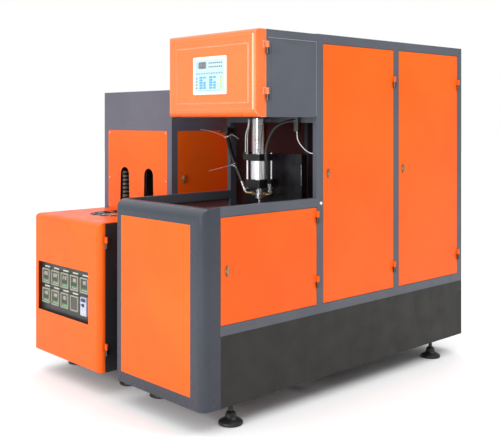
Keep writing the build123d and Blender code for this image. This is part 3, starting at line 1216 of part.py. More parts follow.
# Tray that holds the controllers behind the window
TRAY_X = (WINDOW_X[0] - CONTROL_PLATE_BORDER, WINDOW_X[1] + CONTROL_PLATE_BORDER)
TRAY_Z = (WINDOW_Z[0] - CONTROL_PLATE_BORDER, WINDOW_Z[1] + CONTROL_PLATE_BORDER)
MODULE_X = (WINDOW_X[0] + WINDOW_X[1]) / 2
MODULE_ROWS = (WINDOW_Z[1] - ROW_DROP, WINDOW_Z[1] - ROW_DROP - MODULE_PITCH_Z)
BREAKER_X = MODULE_X + 2 * MODULE_PITCH_X
BREAKER_FACE = CONTROL_PLATE_Y - MODULE_DEPTH - 4
with BuildPart() as control_panel:
    slab(TRAY_X, (CONTROL_PLATE_Y, CABINET_FACE), TRAY_Z)
    slab(
        (TRAY_X[0] + SHEET, TRAY_X[1] - SHEET),
        (CONTROL_PLATE_Y + SHEET, CABINET_FACE),
        (TRAY_Z[0] + SHEET, TRAY_Z[1] - SHEET),
        Mode.SUBTRACT,
    )
    for x in (TRAY_X[0] + 20, TRAY_X[1] - 20):
        slab(
            (x - 15, x + 15),
            (CABINET_FACE - SHEET, CABINET_FACE),
            (BASE + RAIL_FACE - 20, TRACK_TOP - TRACK_PLATE - 20),
        )
save(control_panel, "control_panel")


def controller(x, z):
    """Framed controller with its face set back."""
    with BuildSketch(Plane.XZ.offset(-CONTROL_PLATE_Y)) as outline:
        with Locations((x, z)):
            RectangleRounded(MODULE_WIDTH, MODULE_HEIGHT, 4)
    extrude(outline.sketch, amount=MODULE_DEPTH)
    face = CONTROL_PLATE_Y - MODULE_DEPTH
    slab(
        (x - MODULE_WIDTH / 2 + 8, x + MODULE_WIDTH / 2 - 8),
        (face, face + 3),
        (z - MODULE_HEIGHT / 2 + 8, z + MODULE_HEIGHT / 2 - 8),
        Mode.SUBTRACT,
    )


with BuildPart() as controllers:
    for row, z in enumerate(MODULE_ROWS):
        for column in range(MODULE_COLUMNS - row):
            controller(MODULE_X + (column - 2) * MODULE_PITCH_X, z)
save(controllers, "controllers")

# Main breaker with its toggle
TOGGLE_Z = MODULE_ROWS[1] + 6
TOGGLE_Y = BREAKER_FACE + 3
with BuildPart() as breaker:
    slab(
        (BREAKER_X - BREAKER_WIDTH / 2, BREAKER_X + BREAKER_WIDTH / 2),
        (BREAKER_FACE, CONTROL_PLATE_Y),
        (MODULE_ROWS[1] - BREAKER_HEIGHT / 2, MODULE_ROWS[1] + BREAKER_HEIGHT / 2),
    )
    bar_x(
        TOGGLE_Y,
        TOGGLE_Z,
        TOGGLE_RADIUS + FREE_GAP,
        (BREAKER_X - TOGGLE_WIDTH / 2 - FREE_GAP, BREAKER_X + TOGGLE_WIDTH / 2 + FREE_GAP),
        Mode.SUBTRACT,
    )
    bar_x(
        TOGGLE_Y,
        TOGGLE_Z,
        3 + RUN_FIT,
        (BREAKER_X - TOGGLE_WIDTH / 2 - 4 - FREE_GAP, BREAKER_X + TOGGLE_WIDTH / 2 + 4 + FREE_GAP),
        Mode.SUBTRACT,
    )
save(breaker, "breaker")

with BuildPart() as breaker_toggle:
    bar_x(TOGGLE_Y, TOGGLE_Z, TOGGLE_RADIUS, (BREAKER_X - TOGGLE_WIDTH / 2, BREAKER_X + TOGGLE_WIDTH / 2))
    bar_x(TOGGLE_Y, TOGGLE_Z, 3, (BREAKER_X - TOGGLE_WIDTH / 2 - 4, BREAKER_X + TOGGLE_WIDTH / 2 + 4))
    with BuildSketch(Plane.YZ.offset(BREAKER_X - TOGGLE_WIDTH / 2)):
        with BuildLine():
            Polyline(
                (TOGGLE_Y, TOGGLE_Z - 3),
                (TOGGLE_Y - TOGGLE_REACH, TOGGLE_Z + 4),
                (TOGGLE_Y - TOGGLE_REACH + 3, TOGGLE_Z + 10),
                (TOGGLE_Y, TOGGLE_Z + 5),
                close=True,
            )
        make_face()
    extrude(amount=TOGGLE_WIDTH)
save(breaker_toggle, "breaker_toggle")


def screw_front(x, y, z):
    """Round screw head on a skin that faces forward."""
    bar_y(x, z, SCREW_RADIUS, (y - SCREW_HEIGHT, y))


# Screws that hold the fixed panels, on their skins
with BuildPart() as panel_screws:
    for x in (FRONT_PANEL_X[0] + SCREW_INSET, FRONT_PANEL_X[1] - SCREW_INSET):
        for z in (FRONT_PANEL_Z[0] + SCREW_INSET, FRONT_PANEL_Z[1] - SCREW_INSET):
            screw_front(x, FRONT, z)
    for x in (OVEN_PANEL_X[0] + SCREW_INSET, OVEN_PANEL_X[1] - SCREW_INSET):
        for z in (OVEN_PANEL_Z[0] + SCREW_INSET, OVEN_PANEL_Z[0] + 200, OVEN_PANEL_Z[1] - SCREW_INSET):
            screw_front(x, OVEN_FRONT, z)
    for x in (INNER_LEFT + SCREW_INSET, INNER_RIGHT - SCREW_INSET):
        for z in (SILL_TOP + SCREW_INSET, (SILL_TOP + ROOF_UNDER) / 2, ROOF_UNDER - SCREW_INSET):
            bar_y(x, z, SCREW_RADIUS, (REAR, REAR + SCREW_HEIGHT))
    for (y0, y1), (z0, z1) in LEFT_OPENINGS:
        for y in (y0 + SCREW_INSET, y1 - SCREW_INSET):
            for z in (z0 + SCREW_INSET, z1 - SCREW_INSET):
                bar_x(y, z, SCREW_RADIUS, (HOST_LEFT - SCREW_HEIGHT, HOST_LEFT))
save(panel_screws, "panel_screws")

# High pressure hoses to the nozzle, held at both ends
HOSE_DIAMETER = 24.0
SMALL_HOSE_DIAMETER = 18.0
left_start = LEFT_TURN + LEFT_LEAN.normalized() * (FERRULE_START + FERRULE_LENGTH)
right_start = RIGHT_TURN + RIGHT_LEAN.normalized() * (FERRULE_START + FERRULE_LENGTH)
left_hose = round_hose(
    [
        tuple(left_start),
        tuple(left_start + LEFT_LEAN.normalized() * 50),
        bay(-190.5, -90, -278),
        bay(-232.5, -84, -206),
        tuple(LEFT_PORT - LEFT_PORT_LEAN * 50),
        tuple(LEFT_PORT),
    ],
    HOSE_DIAMETER,
)
save(left_hose, "left_hose")

right_hose = round_hose(
    [
        tuple(right_start),
        tuple(right_start + RIGHT_LEAN.normalized() * 42),
        bay(117.5, -132, -280),
        bay(112.5, -141, -214),
        bay(111.5, -129, -144),
        bay(124.5, -104, -78),
        bay(152, -84, -43),
        tuple(RIGHT_PORT - RIGHT_PORT_LEAN * 34),
        tuple(RIGHT_PORT),
    ],
    SMALL_HOSE_DIAMETER,
)
save(right_hose, "right_hose")

# Thin control tubes between the upper cap and the head, and the drain tube
tube_z = CHAMBER_TOP + 8
TUBE_FOOT_X = HOST_MID - CHAMBER_HALF - 13
TUBE_FEET_Y = (RAM_Y - 41, RAM_Y - 27)
for name, foot_y, port in zip(("control_tube_front", "control_tube_rear"), TUBE_FEET_Y, TUBE_PORTS):
    x, y, z = port
    tube = round_hose(
        [
            (TUBE_FOOT_X, foot_y, tube_z),
            (TUBE_FOOT_X, foot_y, tube_z + 50),
            (TUBE_FOOT_X + 6, foot_y - 4, tube_z + 108),
            (x, y, z - 12 - 40),
            (x, y, z - 12),
        ],
        2 * TUBE_RADIUS,
    )
    save(tube, name)
drain_tube = round_hose(
    [
        DRAIN_PORT,
        bay(227.5, -13, -108),
        bay(236.5, -8, -138),
        bay(256.5, 4, -168),
        bay(279, 19, -190),
        (DRAIN_END[0] - 32, DRAIN_END[1], DRAIN_END[2]),
        (DRAIN_END[0] - 12, DRAIN_END[1], DRAIN_END[2]),
    ],
    2 * TUBE_RADIUS,
)
save(drain_tube, "drain_tube")
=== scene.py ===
"""Looks of a semi-automatic stretch blow moulding machine beside its preform heater, in metres."""

import logging
import math
from dataclasses import dataclass
from enum import Enum
from typing import Iterable, Optional, Sequence, Union

import bmesh
import bpy
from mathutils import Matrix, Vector


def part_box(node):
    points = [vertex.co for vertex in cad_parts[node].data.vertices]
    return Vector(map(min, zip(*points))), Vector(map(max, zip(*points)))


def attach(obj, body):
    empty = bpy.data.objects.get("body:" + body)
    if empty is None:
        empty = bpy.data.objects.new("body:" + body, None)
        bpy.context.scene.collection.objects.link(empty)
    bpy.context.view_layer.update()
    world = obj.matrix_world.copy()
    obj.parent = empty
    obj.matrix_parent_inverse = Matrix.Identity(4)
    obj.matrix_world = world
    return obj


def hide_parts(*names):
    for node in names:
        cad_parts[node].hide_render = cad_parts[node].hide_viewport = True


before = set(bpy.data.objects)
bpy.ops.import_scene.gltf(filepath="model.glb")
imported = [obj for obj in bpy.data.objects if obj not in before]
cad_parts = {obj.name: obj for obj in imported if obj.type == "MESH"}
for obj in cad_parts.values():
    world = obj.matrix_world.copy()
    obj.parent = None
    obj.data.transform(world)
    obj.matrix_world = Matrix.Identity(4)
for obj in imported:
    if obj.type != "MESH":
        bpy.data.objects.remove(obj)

LOG = logging.getLogger("blow_moulder")
Colour = tuple[float, float, float]
Point = Sequence[float]
Socket = bpy.types.NodeSocket
PLAIN = (1.0, 1.0, 1.0)
RIGHT, BACK, UP, FORWARD, DOWN = (1, 0, 0), (0, 1, 0), (0, 0, 1), (0, -1, 0), (0, 0, -1)
HEXAGON = 6  # sides of a nut or a hexagon socket
CORNER_STEPS = 4  # steps round a plate's rounded corner
TIP = 1e-7  # a ring with a smaller radius is one point
WELD = 1e-5  # vertices nearer than this are one
MIX_SHARE, MIX_FIRST, MIX_SECOND, MIX_COLOUR = 0, 6, 7, 2  # the Mix node's sockets when it mixes colours
RANGE_SOCKETS = ("From Min", "From Max", "To Min", "To Max")


def paint(red: int, green: int, blue: int) -> Colour:
    """Linear colour of a paint, from its values on a screen.

    Args:
        red, green, blue: Screen values from 0 to 255.

    Returns:
        The same colour as linear light, from 0 to 1.
    """
    screen = (red / 255, green / 255, blue / 255)
    linear = [c / 12.92 if c <= 0.04045 else ((c + 0.055) / 1.055) ** 2.4 for c in screen]
    return linear[0], linear[1], linear[2]


class ShaderSheet:
    """One new material, with short ways to add and join its nodes."""

    def __init__(self, name: str, colour: Colour, roughness: float, metallic: float = 0.0) -> None:
        """Starts the material with the values of its own sockets.

        Args:
            name: Name of the material.
            colour: Its colour where nothing else is joined.
            roughness: Its roughness.
            metallic: Its metal share.
        """
        self.material = bpy.data.materials.new(name)
        self.material.use_nodes = True
        self.material.diffuse_color = (*colour, 1.0)
        self.tree = self.material.node_tree
        self.surface = self.tree.nodes["Principled BSDF"]
        self.set("Base Color", (*colour, 1.0))
        self.set("Roughness", roughness)
        self.set("Metallic", metallic)
        self.place = self.node("ShaderNodeTexCoord").outputs["Object"]

    def set(self, socket: str, value: object) -> None:
        """Sets one socket of the shader itself."""
        self.surface.inputs[socket].default_value = value

    def node(self, kind: str, **settings: object) -> bpy.types.Node:
        """Adds a node of that kind with its settings."""
        made = self.tree.nodes.new(kind)
        for key, value in settings.items():
            setattr(made, key, value)
        return made

    def feed(self, target: Socket, value: Union[Socket, float, Colour]) -> None:
        """Joins a socket to the target, or sets the target to a number or colour.

        Args:
            target: Socket that takes the value.
            value: Socket to join, or number or colour to set.
        """
        if isinstance(value, bpy.types.NodeSocket):
            self.tree.links.new(value, target)
        elif isinstance(value, tuple):
            target.default_value = (*value, 1.0)[: len(target.default_value)]
        else:
            target.default_value = value

    def noise(self, scale: float, detail: float = 2.0, stretch: Point = PLAIN) -> Socket:
        """Cloudy noise over the piece.

        Args:
            scale: Clouds per metre.
            detail: Number of finer octaves.
            stretch: Scale along each axis, for grain that runs one way.

        Returns:
            The noise value, from 0 to 1.
        """
        made = self.node("ShaderNodeTexNoise")
        made.inputs["Scale"].default_value = scale
        made.inputs["Detail"].default_value = detail
        if tuple(stretch) == PLAIN:
            self.feed(made.inputs["Vector"], self.place)
        else:
            mapping = self.node("ShaderNodeMapping")
            mapping.inputs["Scale"].default_value = stretch
            self.feed(mapping.inputs["Vector"], self.place)
            self.feed(made.inputs["Vector"], mapping.outputs["Vector"])
        return made.outputs[0]

    def remap(self, value: Socket, source: tuple[float, float], target: tuple[float, float]) -> Socket:
        """Stretches a value from one range to another and clamps it.

        Args:
            value: Value to stretch.
            source: Its range, from low to high.
            target: What the ends of that range become.

        Returns:
            The stretched value.
        """
        made = self.node("ShaderNodeMapRange")
        self.feed(made.inputs["Value"], value)
        for name, number in zip(RANGE_SOCKETS, (*source, *target)):
            made.inputs[name].default_value = number
        return made.outputs["Result"]

    def math(self, operation: str, first: Union[Socket, float], second: Union[Socket, float]) -> Socket:
        """Does one arithmetic step.

        Args:
            operation: Name of the step.
            first, second: Values that it works on.

        Returns:
            The result.
        """
        made = self.node("ShaderNodeMath", operation=operation)
        self.feed(made.inputs[0], first)
        self.feed(made.inputs[1], second)
        return made.outputs[0]

    def mix(self, share: Socket, first: Union[Socket, Colour], second: Union[Socket, Colour]) -> Socket:
        """Mixes two colours.

        Args:
            share: Share of the second colour, from 0 to 1.
            first, second: The colours.

        Returns:
            The colour between them.
        """
        made = self.node("ShaderNodeMix", data_type="RGBA")
        self.feed(made.inputs[MIX_SHARE], share)
        self.feed(made.inputs[MIX_FIRST], first)
        self.feed(made.inputs[MIX_SECOND], second)
        return made.outputs[MIX_COLOUR]

    def along(self, vector: Socket, axis: str) -> Socket:
        """Picks one part of a vector.

        Args:
            vector: The vector.
            axis: "X", "Y" or "Z".

        Returns:
            Its part along that axis.
        """
        made = self.node("ShaderNodeSeparateXYZ")
        self.feed(made.inputs[0], vector)
        return made.outputs[axis]

    def soft_edges(self, radius: float) -> tuple[Socket, Socket]:
        """Rounds sharp edges in the shading.

        Args:
            radius: Radius of the rounding in metres.

        Returns:
            The rounded normal, and a share that is high on edges and corners.
        """
        bevel = self.node("ShaderNodeBevel", samples=4)
        bevel.inputs["Radius"].default_value = radius
        dot = self.node("ShaderNodeVectorMath", operation="DOT_PRODUCT")
        self.feed(dot.inputs[0], bevel.outputs[0])
        self.feed(dot.inputs[1], self.node("ShaderNodeNewGeometry").outputs["Normal"])
        return bevel.outputs[0], self.remap(dot.outputs["Value"], (1.0, 0.75), (0.0, 1.0))

    def bump(self, height: Socket, strength: float, distance: float, normal: Optional[Socket] = None) -> None:
        """Gives the surface relief from a height.

        Args:
            height: Value that rises and falls over the surface.
            strength: Share of the relief that shows.
            distance: Height of the relief in metres.
            normal: Normal to start from, or None for the surface's own.
        """
        made = self.node("ShaderNodeBump")
        made.inputs["Strength"].default_value = strength
        made.inputs["Distance"].default_value = distance
        self.feed(made.inputs["Height"], height)
        if normal is not None:
            self.feed(made.inputs["Normal"], normal)
        self.feed(self.surface.inputs["Normal"], made.outputs[0])


@dataclass(frozen=True)
class PowderCoat:
    """Baked powder coat: orange peel, faint clouds, and an edge tone that shows in worn spots of thinner
    coat, and on some coats spreads evenly along every edge as a painted highlight.

    Attributes:
        colour: Colour of the clean coat.
        cloud: Its slightly different tone in the clouds.
        edge: Tone on edges: the thinner coat in worn spots, and on some coats a lighter tone spread evenly as
            a painted highlight.
        roughness: Roughness of the clean coat.
        peel: Strength of the orange peel.
        inside: Tone of the faces that look to +X, darker as painted shade on the panels' inner sides in the
            shaded bay.
        rim: Radius in metres that the coat rounds edges to.
        painted_highlight: Share of the edge tone spread evenly along every edge as a painted highlight, or 0
            where the coat is worn in spots.
        gloss: Specular level of the coat.
        clouds: Clouds per metre.
        worn: Worn spots per metre.
        smudges: Smudges of the gloss per metre.
        fineness: Bumps of the orange peel per metre.
    """

    colour: Colour
    cloud: Colour
    edge: Colour
    roughness: float = 0.4
    peel: float = 0.12
    inside: Optional[Colour] = None
    rim: float = 0.0022
    painted_highlight: float = 0.0
    gloss: float = 0.5
    clouds: float = 2.2
    worn: float = 60.0
    smudges: float = 9.0
    fineness: float = 620.0

    def build(self, name: str) -> bpy.types.Material:
        """Makes the material."""
        sheet = ShaderSheet(name, self.colour, self.roughness)
        sheet.set("Specular IOR Level", self.gloss)
        clouds = sheet.remap(sheet.noise(self.clouds, 4.0), (0.38, 0.66), (0.0, 1.0))
        tone = sheet.mix(clouds, self.colour, self.cloud)
        normal, edges = sheet.soft_edges(self.rim)
        # edge tone: worn spots when the share is 0, otherwise an even painted highlight along every edge
        share = sheet.math("MULTIPLY", edges, self.painted_highlight or sheet.noise(self.worn, 3.0))
        tone = sheet.mix(share, tone, self.edge)
        # painted shade: faces that look to +X take the darker inside tone
        if self.inside is not None:
            facing = sheet.along(sheet.node("ShaderNodeNewGeometry").outputs["Normal"], "X")
            inner = sheet.remap(facing, (0.45, 0.55), (0.0, 1.0))
            tone = sheet.mix(inner, tone, self.inside)
        sheet.feed(sheet.surface.inputs["Base Color"], tone)
        smudge = sheet.noise(self.smudges, 5.0)
        spread = (self.roughness - 0.05, self.roughness + 0.09)
        sheet.feed(sheet.surface.inputs["Roughness"], sheet.remap(smudge, (0.35, 0.7), spread))
        sheet.bump(sheet.noise(self.fineness, 1.5), self.peel, 0.0003, normal)
        return sheet.material


@dataclass(frozen=True)
class BareMetal:
    """Machined or plated metal with its grain and a little staining.

    Attributes:
        colour: Clean colour.
        stain: Colour of oil and handling marks.
        roughness: Roughness of the clean metal.
        grain: Scale of the machining lines along each axis.
        depth: Strength of the machining lines.
        soil: Share of stain at its darkest.
        metallic: Metal share of the surface.
        blotches: Stains per metre.
        rim: Radius in metres that edges are rounded to.
        bright: Share of bare metal that shows on edges.
    """

    colour: Colour
    stain: Colour
    roughness: float
    grain: Point = (40.0, 40.0, 900.0)
    depth: float = 0.1
    soil: float = 0.5
    metallic: float = 1.0
    blotches: float = 14.0
    rim: float = 0.0015
    bright: float = 0.6

    def build(self, name: str) -> bpy.types.Material:
        """Makes the material."""
        sheet = ShaderSheet(name, self.colour, self.roughness, self.metallic)
        blotch = sheet.remap(sheet.noise(self.blotches, 5.0), (0.45, 0.78), (0.0, self.soil))
        lines = sheet.noise(1.0, 2.0, self.grain)
        tone = sheet.mix(blotch, self.colour, self.stain)
        normal, edges = sheet.soft_edges(self.rim)
        bare = tuple(min(1.0, c * 1.35 + 0.04) for c in self.colour)
        tone = sheet.mix(sheet.math("MULTIPLY", edges, self.bright), tone, bare)
        sheet.feed(sheet.surface.inputs["Base Color"], tone)
        spread = (max(0.03, self.roughness - 0.07), self.roughness + 0.12)
        sheet.feed(sheet.surface.inputs["Roughness"], sheet.remap(lines, (0.3, 0.7), spread))
        sheet.bump(lines, self.depth, 0.0002, normal)
        return sheet.material


@dataclass(frozen=True)
class Moulded:
    """Moulded or printed plastic with a fine texture.

    Attributes:
        colour: Main colour.
        cloud: Its slightly different tone.
        roughness: Roughness of the surface.
        grain: Strength of the moulded grain.
        coat: Share of clear gloss.
        clouds: Clouds per metre.
        rim: Radius in metres that edges are rounded to.
    """

    colour: Colour
    cloud: Colour
    roughness: float = 0.45
    grain: float = 0.1
    coat: float = 0.0
    clouds: float = 30.0
    rim: float = 0.0008

    def build(self, name: str) -> bpy.types.Material:
        """Makes the material."""
        sheet = ShaderSheet(name, self.colour, self.roughness)
        sheet.set("Coat Weight", self.coat)
        mottle = sheet.remap(sheet.noise(self.clouds, 4.0), (0.35, 0.7), (0.0, 1.0))
        sheet.feed(sheet.surface.inputs["Base Color"], sheet.mix(mottle, self.colour, self.cloud))
        normal, _ = sheet.soft_edges(self.rim)
        spread = (self.roughness - 0.06, self.roughness + 0.08)
        rough = sheet.remap(sheet.noise(90.0, 3.0), (0.3, 0.7), spread)
        sheet.feed(sheet.surface.inputs["Roughness"], rough)
        sheet.bump(sheet.noise(1500.0, 1.0), self.grain, 0.0002, normal)
        return sheet.material


@dataclass(frozen=True)
class WrappedRubber:
    """Hose cover with the print of its wrapping cloth and dust in it.

    Attributes:
        colour: Colour of the clean cover.
        dust: Colour of the dust.
        dusty: Share of dust at its thickest.
        roughness: Roughness where nothing else is joined.
        cloth: Scale of the cloth print along each axis.
    """

    colour: Colour
    dust: Colour
    dusty: float = 0.35
    roughness: float = 0.5
    cloth: Point = (700.0, 700.0, 260.0)

    def build(self, name: str) -> bpy.types.Material:
        """Makes the material."""
        sheet = ShaderSheet(name, self.colour, self.roughness)
        patches = sheet.remap(sheet.noise(22.0, 5.0), (0.45, 0.75), (0.0, self.dusty))
        sheet.feed(sheet.surface.inputs["Base Color"], sheet.mix(patches, self.colour, self.dust))
        sheet.feed(sheet.surface.inputs["Roughness"], sheet.remap(patches, (0.0, 0.4), (0.42, 0.75)))
        sheet.bump(sheet.noise(1.0, 1.0, self.cloth), 0.35, 0.0004)
        return sheet.material


@dataclass(frozen=True)
class QuartzTube:
    """Infrared lamp tube: milky quartz with the coil of its filament showing through.

    Attributes:
        colour: Colour between the turns of the coil.
        warm: Colour over them.
        winding: Turns of the coil along the tube, in radians per metre.
        roughness: Roughness of the tube.
        coat: Share of clear gloss.
    """

    colour: Colour
    warm: Colour
    winding: float = 900.0
    roughness: float = 0.16
    coat: float = 0.6

    def build(self, name: str) -> bpy.types.Material:
        """Makes the material."""
        sheet = ShaderSheet(name, self.colour, self.roughness)
        sheet.set("Coat Weight", self.coat)
        coil = sheet.math("SINE", sheet.math("MULTIPLY", sheet.along(sheet.place, "Y"), self.winding), 0.0)
        shade = sheet.remap(coil, (-1.0, 1.0), (0.0, 0.55))
        sheet.feed(sheet.surface.inputs["Base Color"], sheet.mix(shade, self.colour, self.warm))
        sheet.bump(coil, 0.12, 0.0003)
        return sheet.material


@dataclass(frozen=True)
class ShopFloor:
    """Plain pale studio floor with a faint unevenness.

    Attributes:
        colour: Main colour.
        shade: Its slightly different tone.
        roughness: Roughness of the floor.
    """

    colour: Colour
    shade: Colour
    roughness: float = 0.85

    def build(self, name: str) -> bpy.types.Material:
        """Makes the material."""
        sheet = ShaderSheet(name, self.colour, self.roughness)
        patches = sheet.remap(sheet.noise(0.6, 3.0), (0.3, 0.7), (0.0, 1.0))
        sheet.feed(sheet.surface.inputs["Base Color"], sheet.mix(patches, self.colour, self.shade))
        return sheet.material


class Finish(Enum):
    """Finishes of the set, by their material names."""

    ORANGE = "orange_coat"
    ORANGE_SHEEN = "orange_coat_painted_sheen"
    ORANGE_SHADED_INSIDE = "orange_coat_painted_shade_inside"
    FRAME_GREY = "blue_grey_coat"
    SURROUND_GREY = "glossy_grey_coat"
    SEAM_HIGHLIGHT = "seam_painted_highlight"
    RIDGE_LINE_HIGHLIGHT = "pressed_ridge_line_highlight"
    RIDGE_HIGHLIGHT = "pressed_ridge_painted_highlight"
    LOCK_METAL = "lock_metal"
    NOZZLE_METAL = "nozzle_metal"
    TIE_WHITE = "tie_white"
    BASE_GREY = "charcoal_coat"
    HOOD_GREY = "oven_grey_coat"
    CABINET_BLACK = "cabinet_black_coat"
    DARK_STEEL = "oiled_dark_steel"
    BLACK_OXIDE = "black_oxide"
    ZINC = "bright_zinc"
    DARK_ZINC = "dark_zinc"
    CHROME = "hard_chrome"
    ALUMINIUM = "drawn_aluminium"
    BRASS = "bright_brass"
    HOSE = "hose_rubber"
    FOOT_RUBBER = "foot_rubber"
    MILKY_TUBE = "milky_tube"
    BEZEL_WHITE = "bezel_white"
    FILM = "keypad_film"
    SCREEN_GREY = "screen_grey"
    KEY_BLUE = "key_blue"
    KEY_PALE = "key_pale_blue"
    KEY_LIME = "key_lime"
    MARK_GREY = "mark_grey"
    PLATE_DARK = "control_plate"
    MODULE_RIM = "module_rim"
    MODULE_FACE = "module_face"
    MODULE_SCREEN = "module_screen"
    DIGIT = "lit_digit"
    GREEN_LINE = "green_line"
    LABEL_BLANK = "label_blank"
    BREAKER = "breaker_white"
    DARK_BLUE = "dark_blue"
    CARRIER = "carrier_black"
    CERAMIC = "lamp_ceramic"
    QUARTZ = "lamp_quartz"
    REFLECTOR = "reflector_sheet"
    RECEIVER = "receiver_enamel"
    FLOOR = "studio_floor"


